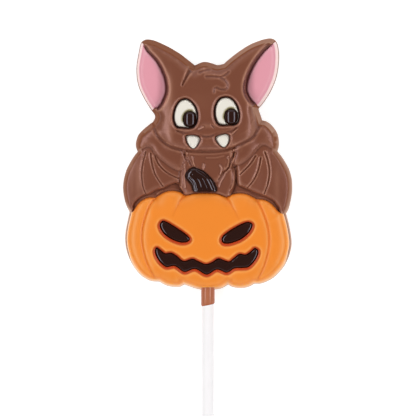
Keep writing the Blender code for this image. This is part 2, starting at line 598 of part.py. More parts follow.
class Solid:
    """A closed body between a bottom and a top surface that share one ring."""

    def __init__(self, ring, lean, top, bottom):
        self.mesh = bmesh.new()
        self.ring, self.lean = ring, lean
        self.made = {}
        tops, bottoms = self.side(top, "top"), self.side(bottom, "bottom")
        for k in range(len(ring)):
            ahead = (k + 1) % len(ring)
            self.wall(k, ahead, tops[k, ahead], bottoms[k, ahead])
        self.close()

    def vertex(self, key, place, z, lean):
        """One vertex for each place and height, moved out with the side wall's lean."""
        name = key, round(z, 3)
        if name not in self.made:
            x, y = place - lean * max(0.0, 1 - z / RIM)
            self.made[name] = self.mesh.verts.new((x * MM, y * MM, z * MM))
        return name

    def side(self, surface, label):
        """The faces of one surface with its steps, and the height that each ring edge ends at."""
        ring_of = surface.ring_of

        def corner(point, region):
            place, z = surface.points[point], float(surface.heights[region][point])
            if point in ring_of:
                return self.vertex(("ring", ring_of[point]), place, z, self.lean[ring_of[point]])
            return self.vertex((label, point), place, z, np.zeros(2))

        levels, across, edge_ends = {}, {}, {}
        for face, region in zip(surface.faces.tolist(), surface.region_of.tolist()):
            names = [corner(point, region) for point in face]
            self.mesh.faces.new([self.made[name] for name in names])
            for place, name in zip(face, names):
                levels.setdefault(place, set()).add(name)
            for k in range(3):
                pair = face[k], face[(k + 1) % 3]
                across.setdefault(tuple(sorted(pair)), []).append(dict(zip(face, names)))
        for (a, b), found in across.items():
            if len(found) == 2:
                self.quad(levels, a, b, found[0], found[1])
            elif a in ring_of and b in ring_of:
                edge_ends[ring_of[a], ring_of[b]] = found[0][a], found[0][b], levels[a], levels[b]
                edge_ends[ring_of[b], ring_of[a]] = found[0][b], found[0][a], levels[b], levels[a]
        return edge_ends

    def between(self, names, start, end):
        """The names strictly between two heights, in order from start to end."""
        low, high = sorted((start[1], end[1]))
        found = sorted((name for name in names if low < name[1] < high), key=lambda name: name[1])
        return found if start[1] < end[1] else found[::-1]

    def quad(self, levels, a, b, one, other):
        """The step between two regions along an edge."""
        loop = [one[a], one[b], *self.between(levels[b], one[b], other[b]), other[b], other[a]]
        loop += self.between(levels[a], other[a], one[a])
        self.face(loop)

    def wall(self, a, b, top, bottom):
        """The side wall over one edge of the ring."""
        top_a, top_b, above_a, above_b = top
        bottom_a, bottom_b, below_a, below_b = bottom
        loop = [top_a, top_b, *self.between(above_b | below_b, top_b, bottom_b), bottom_b, bottom_a]
        loop += self.between(above_a | below_a, bottom_a, top_a)
        self.face(loop)

    def face(self, loop):
        kept = [name for k, name in enumerate(loop) if name != loop[k - 1]]
        if len(kept) > 2:
            self.mesh.faces.new([self.made[name] for name in kept])

    def close(self):
        bmesh.ops.triangulate(self.mesh, faces=self.mesh.faces[:])
        bmesh.ops.recalc_face_normals(self.mesh, faces=self.mesh.faces[:])


def material(name, colour, roughness):
    made = bpy.data.materials.new(name)
    made.use_nodes = True
    shader = made.node_tree.nodes["Principled BSDF"]
    shader.inputs["Base Color"].default_value = (*colour, 1.0)
    shader.inputs["Roughness"].default_value = roughness
    shader.inputs["Metallic"].default_value = 0.0
    return made


def add_object(name, mesh, surface):
    """An object from a bmesh, in the given material."""
    data = bpy.data.meshes.new(name)
    mesh.to_mesh(data)
    mesh.free()
    data.shade_smooth()
    data.set_sharp_from_angle(angle=SMOOTH_BELOW)
    data.materials.append(surface)
    made = bpy.data.objects.new(name, data)
    bpy.context.collection.objects.link(made)
    return made


def rod(name, radius, start, end, surface, axis=STICK_AXIS, sides=32):
    """A round rod along Y between two places."""
    mesh = bmesh.new()
    length = abs(end - start) * MM
    bmesh.ops.create_cone(
        mesh, cap_ends=True, segments=sides, radius1=radius * MM, radius2=radius * MM, depth=length
    )
    made = add_object(name, mesh, surface)
    made.rotation_euler.x = math.pi / 2
    made.location = (axis[0] * MM, (start + end) / 2 * MM, axis[1] * MM)
    return made


def apply_boolean(target, cutter, operation):
    """Add or take away the other object's volume. The other object stays as a hidden wire shape."""
    step = target.modifiers.new(cutter.name, "BOOLEAN")
    step.operation = operation
    step.solver = "EXACT"
    step.object = cutter
    cutter.display_type = "WIRE"
    cutter.hide_render = True


def inlay(name, line, height, floor, surface, ridges=()):
    """A small filled shape that stands a gap clear in its hole."""
    forms = [*ridges, ended(offset(line, INLAY_SHOULDER, True))]
    lines = [run for form in forms for run in clipped(form, line, INLAY_MARGIN)]
    mesh = Solid(
        line,
        np.zeros_like(line),
        Surface(line, height, lines=lines, pitch=PITCH),
        Surface(line, flat(floor + GAP)),
    ).mesh
    return add_object(name, mesh, surface)


def form_lines():
    """The lines that the brown relief's triangles follow: creases, plate edges and rounded shoulders."""
    found = []
    for line, _, width in CREASES:
        found += [line, offset(line, CREASE_SIDE * width), offset(line, -CREASE_SIDE * width)]
    for (_, _, _, width), line in zip(PLATES, PLATE_LINES):
        found += [ended(line), ended(offset(line, width * PLATE_SHOULDER, True))]
    found += [ended(offset(line, -SOCKET_RIDGE, True)) for line in SOCKETS]
    found += [ended(offset(FRONT, depth, True)) for depth in EDGE_LINES]
    return found


def build_milk_chocolate(surface):
    """The brown body with its relief, the seats of the coloured layers and the holes of the inlays."""
    layers = [PUMPKIN, LEFT_PINK, RIGHT_PINK]
    seats = [layer.region for layer in layers]
    regions = [(layer.region, layer.seat) for layer in layers]
    regions += [(line, flat(SOCKET_FLOOR)) for line in SOCKETS]
    regions += [(line, flat(FANG_FLOOR)) for line in FANG_HOLES]
    regions.append((STEM_HOLE, flat(STEM_FLOOR)))
    lines = [layer.step for layer in layers] + [layer.inset for layer in layers]
    for form in form_lines():
        lines += clipped(form, FRONT, EDGE_MARGIN, seats)
    loops = SOCKETS + FANG_HOLES + [STEM_HOLE]
    top = Surface(FRONT, brown_height, regions, lines, loops, PITCH)
    bottom = Surface(FRONT, flat(0.0))
    return add_object("milk_chocolate", Solid(FRONT, LEAN, top, bottom).mesh, surface)


def build_layer(name, layer, height, surface, lines=(), holes=(), rims=()):
    """A coloured layer that fills its seat, with holes for its own inlays."""
    ring, lean = layer.outline()
    regions = [(hole, flat(HOLE_FLOOR)) for hole in holes]
    top = Surface(ring, height, regions, lines, [*holes, *rims], PITCH)
    bottom = Surface(ring, lambda points: layer.seat(points) + GAP, lines=[layer.inset])
    return add_object(name, Solid(ring, lean, top, bottom).mesh, surface)


def build_pumpkin(surface):
    ring = PUMPKIN.outline()[0]
    forms = [*GROOVE_LINES, *(ended(offset(ring, depth, True)) for depth in EDGE_LINES)]
    forms += [offset(line, side) for line in GROOVE_LINES for side in (-GROOVE_SIDE, GROOVE_SIDE)]
    lines = [run for line in forms for run in clipped(line, ring, EDGE_MARGIN)]
    rims = [offset(line, -RECESS_WIDTH, True) for line in HOLES]
    return build_layer("pumpkin", PUMPKIN, pumpkin_height, surface, lines, HOLES, rims)


def oval(centre, margin=0.0, sides=28):
    """The outline of a pupil, widened all round by the margin."""
    angles = np.linspace(0, 2 * math.pi, sides, endpoint=False)
    half = PUPIL_HALF_WIDTH + margin, PUPIL_HALF_HEIGHT + margin
    return np.stack([np.cos(angles), np.sin(angles)], axis=1) * half + centre


def build_eye(side, socket, centre, white, dark):
    """The white of an eye with its pupil, which stands clear in an oval cut out of the white."""
    line = offset(socket, GAP * 2, True)
    eye = inlay(f"eye_white_{side}", line, domed(line, EYE_EDGE, EYE_TOP, 3.0), SOCKET_FLOOR, white)
    hole = oval(centre, PUPIL_CLEARANCE)
    top, bottom = Surface(hole, flat(PUPIL_TOP + 1)), Surface(hole, flat(SOCKET_FLOOR - 1))
    cutter = Solid(hole, np.zeros_like(hole), top, bottom).mesh
    apply_boolean(eye, add_object(f"pupil_clearance_{side}", cutter, dark), "DIFFERENCE")
    line = oval(centre)
    inlay(f"pupil_{side}", line, domed(line, PUPIL_EDGE, PUPIL_TOP, 2.4), SOCKET_FLOOR, dark)


def build_fang(side, hole, surface):
    line = offset(hole, GAP, True)
    inlay(f"fang_{side}", line, domed(line, FANG_EDGE, FANG_TOP, 1.6), FANG_FLOOR, surface)


def build_stem(surface):
    sides = [offset(line, side) for line in RIDGES for side in (-RIDGE_SIDE, RIDGE_SIDE)]
    inlay("pumpkin_stem", offset(STEM_HOLE, GAP, True), stem_height, STEM_FLOOR, surface, RIDGES + sides)


def build_stick(body, pumpkin, brown, paper):
    """The stick, its bore through the chocolate and the neck of chocolate round it."""
    apply_boolean(body, rod("neck", NECK_RADIUS, NECK_TOP, NECK_END, brown), "UNION")
    bore = rod("bore", BORE_RADIUS, STICK_TOP + GAP, NECK_END - 1.0, brown)
    apply_boolean(body, bore, "DIFFERENCE")
    apply_boolean(pumpkin, bore, "DIFFERENCE")
    lip_cutter = rod("lip_cutter", NECK_RADIUS + GAP, NECK_TOP + GAP, MOUTH_OF_LIP, brown)
    apply_boolean(pumpkin, lip_cutter, "DIFFERENCE")
    rod("stick", STICK_RADIUS, STICK_TOP, STICK_TOP - STICK_LENGTH, paper)


def build():
    for item in list(bpy.data.objects):
        bpy.data.objects.remove(item)

    brown = material("milk_chocolate", (0.19, 0.07, 0.04), 0.35)
    orange = material("orange_chocolate", (0.88, 0.27, 0.04), 0.35)
    pink = material("pink_chocolate", (0.75, 0.34, 0.40), 0.4)
    white = material("white_chocolate", (0.82, 0.78, 0.66), 0.4)
    dark = material("dark_chocolate", (0.03, 0.01, 0.006), 0.25)
    paper = material("stick_paper", (0.90, 0.88, 0.88), 0.6)

    body = build_milk_chocolate(brown)
    pumpkin = build_pumpkin(orange)
    build_layer("ear_inner_left", LEFT_PINK, ear_height(LEFT_PINK), pink)
    build_layer("ear_inner_right", RIGHT_PINK, ear_height(RIGHT_PINK), pink)
    build_eye("left", SOCKETS[0], LEFT_PUPIL, white, dark)
    build_eye("right", SOCKETS[1], RIGHT_PUPIL, white, dark)
    build_fang("left", FANG_HOLES[0], white)
    build_fang("right", FANG_HOLES[1], white)
    build_stem(dark)
    for name, line in zip(("pumpkin_eye_left", "pumpkin_eye_right", "pumpkin_mouth"), HOLES):
        fill = offset(line, GAP, True)
        inlay(name, fill, domed(fill, FILL_EDGE, FILL_TOP, 1.4), HOLE_FLOOR, dark)
    build_stick(body, pumpkin, brown, paper)


build()
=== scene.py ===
"""Looks of the chocolate lollipop: fine relief, chocolate materials, light and camera."""

import math

import bmesh
import bpy
import numpy as np
from mathutils import Matrix, Vector
from mathutils.geometry import delaunay_2d_cdt


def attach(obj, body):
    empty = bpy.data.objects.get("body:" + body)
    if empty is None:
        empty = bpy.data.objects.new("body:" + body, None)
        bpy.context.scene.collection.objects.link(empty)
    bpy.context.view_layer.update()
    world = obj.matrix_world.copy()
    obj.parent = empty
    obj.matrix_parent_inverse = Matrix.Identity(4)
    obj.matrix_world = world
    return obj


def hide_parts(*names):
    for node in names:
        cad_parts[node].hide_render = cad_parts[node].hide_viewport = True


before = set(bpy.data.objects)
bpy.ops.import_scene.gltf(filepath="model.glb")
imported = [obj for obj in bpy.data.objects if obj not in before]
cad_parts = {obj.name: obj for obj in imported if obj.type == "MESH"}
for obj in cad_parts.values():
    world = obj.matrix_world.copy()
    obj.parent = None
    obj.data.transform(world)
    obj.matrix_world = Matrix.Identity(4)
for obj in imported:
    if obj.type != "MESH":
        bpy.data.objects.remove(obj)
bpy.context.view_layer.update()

MM = 0.001

# Sizes of the moulded body, in millimetres
RIM = 6.0
DRAFT = 1.35
GAP = 0.05
STRIP = 4.7
SEAT = 3.2

# The stick and the neck of chocolate on it
STICK_RADIUS = 2.15
STICK_AXIS = (-0.15, 2.9)
STICK_TOP = 0.0
STICK_LENGTH = 150.0
STICK_BEVEL = 0.3
NECK_RADIUS = 2.45
NECK_TOP = -40.5
NECK_END = -50.7
FILM_BEVEL, FILM_EDGE = 0.4, 0.02
FILM_SLANT, SLANT_REACH = 0.45, 1.0

# Back outline, counter-clockwise, as strokes that meet at the notches of the silhouette
LEFT_EAR = [
    (-4.9, 34.9), (-7.2, 36.7), (-10.2, 39.0), (-14.2, 41.4), (-18.7, 43.5), (-21.1, 44.1), (-22.8, 44.0),
    (-24.2, 42.8), (-24.9, 39.8), (-25.6, 36.0), (-25.8, 33.0), (-25.5, 29.4), (-24.6, 26.2),
    (-22.8, 22.6), (-20.7, 19.2), (-19.3, 17.2), (-19.2, 16.0), (-19.9, 14.7),
]
LEFT_SHOULDER = [
    (-19.9, 14.7), (-21.5, 13.5), (-23.5, 11.8), (-25.1, 10.0), (-25.9, 7.8), (-26.0, 5.9), (-25.4, 4.0),
]
LEFT_WING = [
    (-25.4, 4.0), (-26.8, 2.2), (-28.3, -0.3), (-29.5, -2.8), (-30.4, -6.3), (-30.6, -9.4),
    (-30.2, -12.4), (-29.5, -15.0), (-28.3, -17.6),
]
PUMPKIN_LEFT_SIDE = [
    (-28.3, -17.6), (-29.0, -20.7), (-29.7, -24.2), (-29.9, -27.7), (-29.4, -31.2), (-28.2, -34.6),
    (-26.4, -37.7), (-24.0, -40.4), (-20.9, -42.2), (-17.7, -42.5),
]
PUMPKIN_BOTTOM = [
    [(-17.7, -42.5), (-15.0, -43.9), (-12.2, -44.4), (-10.2, -44.3), (-8.7, -43.5)],
    [(-8.7, -43.5), (-5.3, -44.7), (-3.0, -45.3), (-0.5, -45.5), (2.3, -45.3), (4.8, -44.8), (7.0, -43.5)],
    [(7.0, -43.5), (8.7, -44.4), (11.6, -44.8), (14.3, -44.3), (16.4, -43.2)],
]
PUMPKIN_RIGHT_SIDE = [
    (16.4, -43.2), (18.8, -43.1), (21.0, -42.3), (23.1, -41.1), (25.1, -39.2), (27.0, -36.9),
    (28.6, -33.7), (29.5, -30.6), (29.7, -28.2), (29.4, -25.4), (28.8, -22.2), (28.2, -19.8),
    (27.7, -18.1),
]
RIGHT_WING = [
    (27.7, -18.1), (28.5, -16.7), (29.1, -14.6), (29.7, -11.5), (29.9, -8.7), (29.7, -5.6), (28.9, -2.6),
    (27.6, 0.0), (25.9, 2.6), (24.6, 4.2),
]
RIGHT_SHOULDER = [
    (24.6, 4.2), (25.1, 6.0), (25.1, 8.2), (24.6, 10.5), (23.4, 12.5), (21.9, 14.1), (20.4, 15.0),
    (19.2, 15.2),
]
RIGHT_EAR = [
    (19.2, 15.2), (18.7, 16.8), (18.1, 18.4), (17.9, 19.4), (18.3, 19.9), (19.1, 20.8), (20.4, 22.6),
    (22.3, 25.7), (24.0, 29.7), (24.9, 33.7), (25.2, 37.7), (25.0, 40.8), (24.4, 43.0), (23.3, 44.2),
    (21.6, 44.5), (18.8, 43.9), (14.8, 42.3), (11.1, 40.0), (7.8, 37.5), (5.4, 35.4),
]
HEAD_TOP = [(5.4, 35.4), (3.2, 35.0), (1.6, 35.5), (-0.8, 36.1), (-2.6, 35.9), (-4.9, 34.9)]

# Where the coloured layers meet the side wall
LEFT_EAR_TIP, LEFT_EAR_FOOT = (-23.9, 43.3), (-20.3, 18.6)
RIGHT_EAR_FOOT, RIGHT_EAR_TIP = (18.3, 19.9), (24.2, 43.3)

# Inner borders of the coloured layers, each from one end on the side wall to the other
LEFT_EAR_BORDER = [
    (-22.5, 41.2), (-21.2, 39.4), (-20.0, 38.2), (-18.4, 36.4), (-17.1, 34.3), (-16.1, 32.1),
    (-15.4, 30.2), (-15.0, 28.0), (-14.9, 26.4), (-15.2, 24.6), (-16.1, 22.4), (-16.9, 20.9),
    (-17.8, 19.8),
]
RIGHT_EAR_BORDER = [
    (16.6, 21.3), (15.6, 22.2), (14.5, 23.8), (13.8, 25.4), (13.6, 27.0), (13.9, 29.0), (14.5, 31.1),
    (15.3, 33.0), (16.4, 35.1), (18.0, 37.5), (19.8, 39.7), (21.6, 41.5),
]
PUMPKIN_TOP = [
    [(-26.0, -16.0), (-25.0, -14.5), (-23.4, -13.1), (-21.0, -12.2), (-18.8, -12.4)],
    [(-18.8, -12.4), (-17.2, -11.2), (-15.2, -10.2), (-12.7, -9.8), (-10.2, -10.3), (-8.2, -11.5)],
    [(-8.2, -11.5), (-5.0, -10.7), (-1.3, -10.5), (2.8, -10.7), (5.0, -11.3), (6.5, -12.0)],
    [(6.5, -12.0), (8.4, -11.2), (11.0, -10.7), (13.6, -11.0), (15.6, -11.9), (17.3, -12.9)],
    [(17.3, -12.9), (19.3, -12.9), (21.2, -13.5), (23.1, -15.0), (24.9, -17.1)],
]

# Inlays of the bat
LEFT_SOCKET = [
    (-8.0, 23.3), (-10.2, 22.5), (-11.7, 20.4), (-12.5, 17.6), (-12.4, 14.9), (-11.2, 12.8), (-9.2, 12.4),
    (-6.6, 12.3), (-4.6, 13.0), (-3.5, 15.2), (-3.4, 17.8), (-4.2, 20.4), (-5.9, 22.4),
]
RIGHT_SOCKET = [
    (6.6, 24.0), (4.3, 23.4), (2.8, 21.6), (2.1, 19.0), (2.2, 16.5), (3.1, 14.2), (4.8, 13.3),
    (7.2, 13.4), (9.6, 13.6), (11.0, 14.6), (11.5, 16.9), (11.2, 19.3), (10.2, 21.6), (8.6, 23.3),
]
PUPIL_HALF_WIDTH, PUPIL_HALF_HEIGHT = 2.3, 2.85
LEFT_PUPIL, RIGHT_PUPIL = (-6.4, 15.75), (8.3, 16.6)
LEFT_FANG = [
    (-7.8, 10.0), (-5.2, 10.2), (-3.1, 9.7), (-2.5, 8.6), (-2.9, 7.3), (-3.9, 5.9), (-5.2, 5.1),
    (-6.5, 5.9), (-7.6, 7.3), (-8.0, 8.8),
]
RIGHT_FANG = [
    (2.8, 9.7), (4.6, 10.4), (6.4, 10.7), (7.6, 10.3), (8.0, 9.0), (7.7, 7.5), (6.9, 6.3), (5.7, 5.6),
    (4.2, 6.3), (3.1, 7.5), (2.5, 8.8),
]
STEM = [
    (-7.7, -3.3), (-6.6, -2.0), (-5.2, -1.4), (-3.4, -1.9), (-1.6, -2.7), (0.0, -4.0), (1.4, -5.5),
    (2.5, -7.3), (3.2, -9.2), (2.8, -10.0), (0.0, -10.0), (-3.0, -10.0), (-5.3, -9.9), (-5.8, -8.3),
    (-6.7, -6.9), (-7.8, -5.6), (-8.1, -4.5),
]
STEM_RIDGES = [
    [(-6.6, -5.2), (-5.2, -6.6), (-4.4, -9.4)],
    [(-5.8, -3.9), (-3.4, -6.0), (-2.2, -9.4)],
    [(-5.0, -3.0), (-1.9, -5.4), (-0.1, -9.4)],
    [(-3.9, -2.6), (-0.3, -5.2), (1.8, -9.2)],
]

# Inlays of the pumpkin
PUMPKIN_LEFT_EYE = [
    (-16.2, -20.4), (-14.6, -20.8), (-12.2, -22.2), (-9.4, -24.0), (-7.2, -25.7), (-6.4, -27.0),
    (-7.3, -28.0), (-9.4, -28.3), (-12.2, -27.5), (-15.0, -25.8), (-16.7, -23.8), (-17.3, -21.8),
]
PUMPKIN_RIGHT_EYE = [
    (14.6, -20.8), (12.6, -21.2), (9.4, -22.8), (6.8, -24.5), (5.1, -26.1), (4.8, -27.6), (5.9, -28.6),
    (8.4, -28.4), (11.6, -27.2), (14.2, -25.2), (15.6, -23.2), (15.9, -21.6),
]
PUMPKIN_MOUTH = [
    (-18.2, -29.9), (-16.6, -31.0), (-15.2, -32.0), (-13.2, -31.8), (-11.2, -32.8), (-8.7, -34.7),
    (-5.6, -33.9), (-3.6, -34.7), (-0.8, -35.8), (1.6, -35.0), (3.8, -33.8), (7.3, -34.9), (9.0, -33.8),
    (11.2, -32.2), (13.4, -32.4), (15.2, -31.3), (16.6, -30.1), (17.9, -30.8), (17.9, -32.4),
    (16.8, -34.6), (14.6, -36.9), (12.2, -37.3), (9.4, -37.5), (6.7, -39.0), (3.2, -37.9), (-0.5, -39.7),
    (-4.6, -37.7), (-8.3, -38.8), (-10.6, -37.4), (-12.2, -36.6), (-14.9, -37.0), (-17.2, -35.2),
    (-18.6, -32.9), (-19.0, -31.0),
]

# Creases of the relief
CHIN = [
    (-19.6, 13.4), (-18.5, 10.6), (-16.9, 8.5), (-15.0, 6.9), (-13.0, 5.8), (-10.5, 5.0), (-8.0, 4.5),
    (-4.5, 4.2), (0.0, 4.1), (4.0, 4.3), (7.0, 4.8), (9.5, 5.7), (12.0, 6.9), (14.6, 8.3), (16.5, 9.8),
    (17.7, 12.0), (18.9, 14.8),
]
SMILE = [
    (-10.8, 11.6), (-8.8, 10.9), (-5.0, 10.5), (-0.4, 9.5), (3.6, 10.5), (6.6, 11.1), (8.6, 11.6),
    (10.3, 12.7),
]
EAR_CREASE = [(-5.9, 33.6), (-7.1, 31.9), (-8.1, 30.0), (-9.1, 27.8)]
HAIR_CREASES = [
    [(-0.5, 31.0), (2.0, 31.0), (4.4, 30.8), (6.0, 31.4), (7.4, 32.6)],
    [(4.6, 30.5), (6.0, 29.7), (6.9, 28.6), (7.0, 27.2), (6.2, 26.4), (4.6, 26.4), (3.1, 27.0), (2.3, 26.4),
     (2.2, 25.4)],
    [(-3.0, 32.4), (-1.4, 33.1), (0.6, 33.4)],
]
LEFT_RIBS = [
    [(-22.3, 4.0), (-23.3, 0.0), (-23.7, -4.0), (-23.3, -8.0), (-22.3, -10.8)],
    [(-20.5, 3.6), (-20.0, 0.0), (-18.8, -4.0), (-16.2, -8.2)],
    [(-19.0, 2.7), (-17.5, -0.5), (-14.5, -3.4), (-10.6, -5.4)],
]
RIGHT_RIBS = [
    [(20.3, 4.0), (21.3, 1.0), (21.9, -3.0), (21.4, -7.0), (20.1, -10.8)],
    [(18.8, 2.0), (18.0, -2.0), (16.2, -6.0), (14.0, -8.8)],
    [(17.0, 2.7), (15.0, -0.3), (11.4, -4.0)],
]

# Plates of the brown relief, lowest first; their outer stretches lie beyond the silhouette
LEFT_WING_PLATE = [
    (-27.7, -18.4), (-26.7, -15.0), (-25.3, -13.2), (-23.4, -11.8), (-21.0, -11.1), (-18.2, -9.6),
    (-16.2, -9.2), (-14.0, -8.0), (-11.6, -7.1), (-9.9, -7.2), (-9.9, 2.0), (-16.0, 8.0), (-34.0, 8.0),
    (-34.0, -18.4),
]
RIGHT_WING_PLATE = [
    (26.7, -18.4), (25.0, -15.7), (23.0, -13.3), (20.7, -12.1), (17.7, -11.0), (15.4, -10.0),
    (12.7, -8.8), (10.6, -7.6), (10.1, -3.0), (10.2, 2.0), (16.0, 8.0), (34.0, 8.0), (34.0, -18.4),
]
TORSO_PLATE = [(-11.0, -0.6), (-5.0, -1.2), (5.0, -1.2), (10.6, -0.4), (11.5, 7.0), (0.0, 8.0), (-11.5, 7.0)]
BELLY_PLATE = [
    (-10.1, -2.0), (-10.2, -6.4), (-10.4, -8.4), (-8.9, -10.2), (-7.6, -11.6), (7.0, -12.6), (8.4, -10.4),
    (9.2, -8.8), (9.7, -6.5), (9.6, -3.8), (9.0, -1.2), (8.0, 4.0), (-8.0, 4.0),
]
LEFT_ARM_PLATE = [
    (-28.0, 4.0), (-25.4, 4.2), (-23.5, 4.9), (-21.8, 5.8), (-20.4, 5.5), (-19.4, 4.0), (-18.0, 2.3),
    (-16.2, 0.7), (-14.0, -1.0), (-12.2, -2.1), (-10.2, -2.8), (-8.4, -1.6), (-7.4, 1.2), (-8.3, 4.0),
    (-8.0, 9.0), (-14.0, 12.0), (-19.0, 18.0), (-30.0, 18.0),
]
RIGHT_ARM_PLATE = [
    (28.0, 4.2), (24.7, 4.4), (22.6, 5.2), (20.9, 6.2), (19.4, 6.4), (17.9, 5.2), (16.2, 3.2),
    (14.4, 1.5), (12.4, 0.0), (10.2, -0.8), (8.6, 0.2), (8.4, 1.6), (9.2, 3.2), (9.0, 9.0), (14.0, 12.0),
    (19.0, 18.0), (30.0, 18.0),
]
CHEST_PLATE = [
    (-8.4, 5.5), (-8.2, 2.9), (-7.4, 1.4), (-6.4, 0.8), (-6.1, -0.4), (-5.4, -1.4), (-2.0, -4.0),
    (0.6, -6.4), (3.4, -6.8), (4.5, -5.7), (5.3, -4.3), (5.9, -2.9), (7.0, -2.2), (7.7, -1.0), (7.9, 0.9),
    (8.9, 2.2), (9.2, 3.5), (8.8, 5.5),
]
HEAD_PLATE = CHIN + [(28.0, 18.0), (30.0, 50.0), (-30.0, 50.0), (-28.0, 16.0)]

# Each plate: outline, height at its edge, height inside, width of the rounded edge
PLATES = [
    (LEFT_WING_PLATE, 5.1, 6.5, 1.6),
    (RIGHT_WING_PLATE, 5.1, 6.5, 1.6),
    (TORSO_PLATE, 6.0, 6.5, 0.6),
    (BELLY_PLATE, 5.4, 7.2, 1.6),
    (LEFT_ARM_PLATE, 6.2, 7.7, 2.6),
    (RIGHT_ARM_PLATE, 6.2, 7.7, 2.6),
    (CHEST_PLATE, 6.6, 7.8, 1.5),
    (HEAD_PLATE, 6.9, 8.7, 3.6),
]

# Soft swellings and hollows: centre x, centre y, radius x, radius y, height
SWELLINGS = [
    (0.0, 12.0, 14.0, 7.5, 0.8),
    (-0.4, 13.4, 3.0, 1.3, 0.6),
    (1.0, 28.0, 6.5, 3.4, 0.35),
    (-13.6, 11.0, 3.0, 3.0, 0.3),
    (13.0, 12.6, 3.0, 3.0, 0.3),
    (-21.5, 41.0, 8.0, 10.0, -1.1),
    (22.0, 41.0, 8.0, 10.0, -1.1),
    (-24.0, 6.0, 3.0, 6.0, -0.5),
    (24.0, 6.0, 3.0, 6.0, -0.5),
    (-20.8, -5.0, 4.6, 9.0, 0.9),
    (21.2, -5.0, 4.6, 9.0, 0.9),
]

# The dome of the face: its height and where it rises from the left, from the right, below and above
DOME = 0.9
DOME_LEFT, DOME_RIGHT, DOME_BELOW, DOME_ABOVE = (-17.3, -12.4), (18.2, 13.4), (2.0, 8.0), (36.0, 28.0)

# The pumpkin's face, and its grooves: points and depths at both ends
FACE_EDGE, FACE_TOP, FACE_WIDTH = 6.0, 8.9, 9.0
GROOVES = [
    ([(-18.8, -12.4), (-20.7, -14.8), (-22.4, -19.0), (-23.5, -23.5), (-23.6, -28.0), (-22.8, -32.5),
      (-21.2, -37.0), (-19.0, -40.8), (-17.6, -42.4)], 0.9, 0.7),
    ([(-8.2, -11.5), (-9.8, -13.3), (-11.2, -15.8), (-12.4, -18.6)], 0.9, 0.0),
    ([(6.5, -12.0), (8.2, -14.6), (9.8, -17.3), (11.0, -20.0)], 0.9, 0.0),
    ([(17.3, -12.9), (19.2, -16.3), (20.9, -20.8), (21.8, -25.5), (21.7, -30.2), (20.3, -36.0),
      (18.2, -40.6), (16.5, -43.2)], 0.9, 0.7),
    ([(-8.7, -43.5), (-9.6, -42.3), (-10.6, -41.0)], 0.8, 0.0),
    ([(7.0, -43.5), (7.9, -42.2), (8.6, -41.0)], 0.8, 0.0),
]
GROOVE_WIDTH = 1.8
RECESS, RECESS_WIDTH = 0.9, 0.8
EDGE_ROUNDING = 3.2

# Heights of floors, edges and tops of the inlays and layers
SOCKET_FLOOR, EYE_EDGE, EYE_TOP, PUPIL_TOP = 7.9, 8.4, 9.3, 10.2
FANG_FLOOR, FANG_EDGE, FANG_TOP = 8.0, 8.6, 9.4
STEM_FLOOR, STEM_EDGE, STEM_TOP = 6.0, 7.1, 8.7
HOLE_FLOOR, FILL_EDGE, FILL_TOP = 6.5, 6.9, 7.9
EAR_SEAT, EAR_SPLIT, EAR_FACE, EAR_RIM, EAR_BEVEL = 4.2, 1.0, 6.0, 5.2, 1.0
LIP, EAR_LIP = 2.5, 1.6
PUMPKIN_SPLIT_LOW, PUMPKIN_SPLIT_START, PUMPKIN_SPLIT_END = 0.6, -36.0, -31.0

# Width of the ring left open round each inlay, and how deep the inlays are sunk into their floors
SOCKET_RING, FANG_RING, STEM_RING, FILL_RING = 0.56, 0.12, 0.15, 0.02
SUNK = 0.2
PUPIL_MARGIN = 0.1

# The curve of the pupils across, and how far below each carved hole its rim lies
PUPIL_CURVE = 2.8
HOLE_SHIFT = 0.2

# The low filling right of the chest, and the raised rims round eyes and fangs: away from the hole, half-width
FILLING, FILLING_CENTRE, FILLING_SIZE = 1.1, (10.5, -2.5), (1.5, 6.0)
RAISED, RAISED_AWAY, RAISED_WIDTH = 0.2, 0.5, 0.22

# Mesh lines beside creases, rims, grooves, plates and the outline, as distances from them
CREASE_SIDES = (-0.5, -0.22, 0.0, 0.22, 0.5)
RING_SIDES = (-0.7, -0.5, -0.25)
GROOVE_SIDES = (-0.28, 0.0, 0.28)
STEP_SIDE = 0.07
RIM_RINGS = (0.15, 0.35, 0.6)

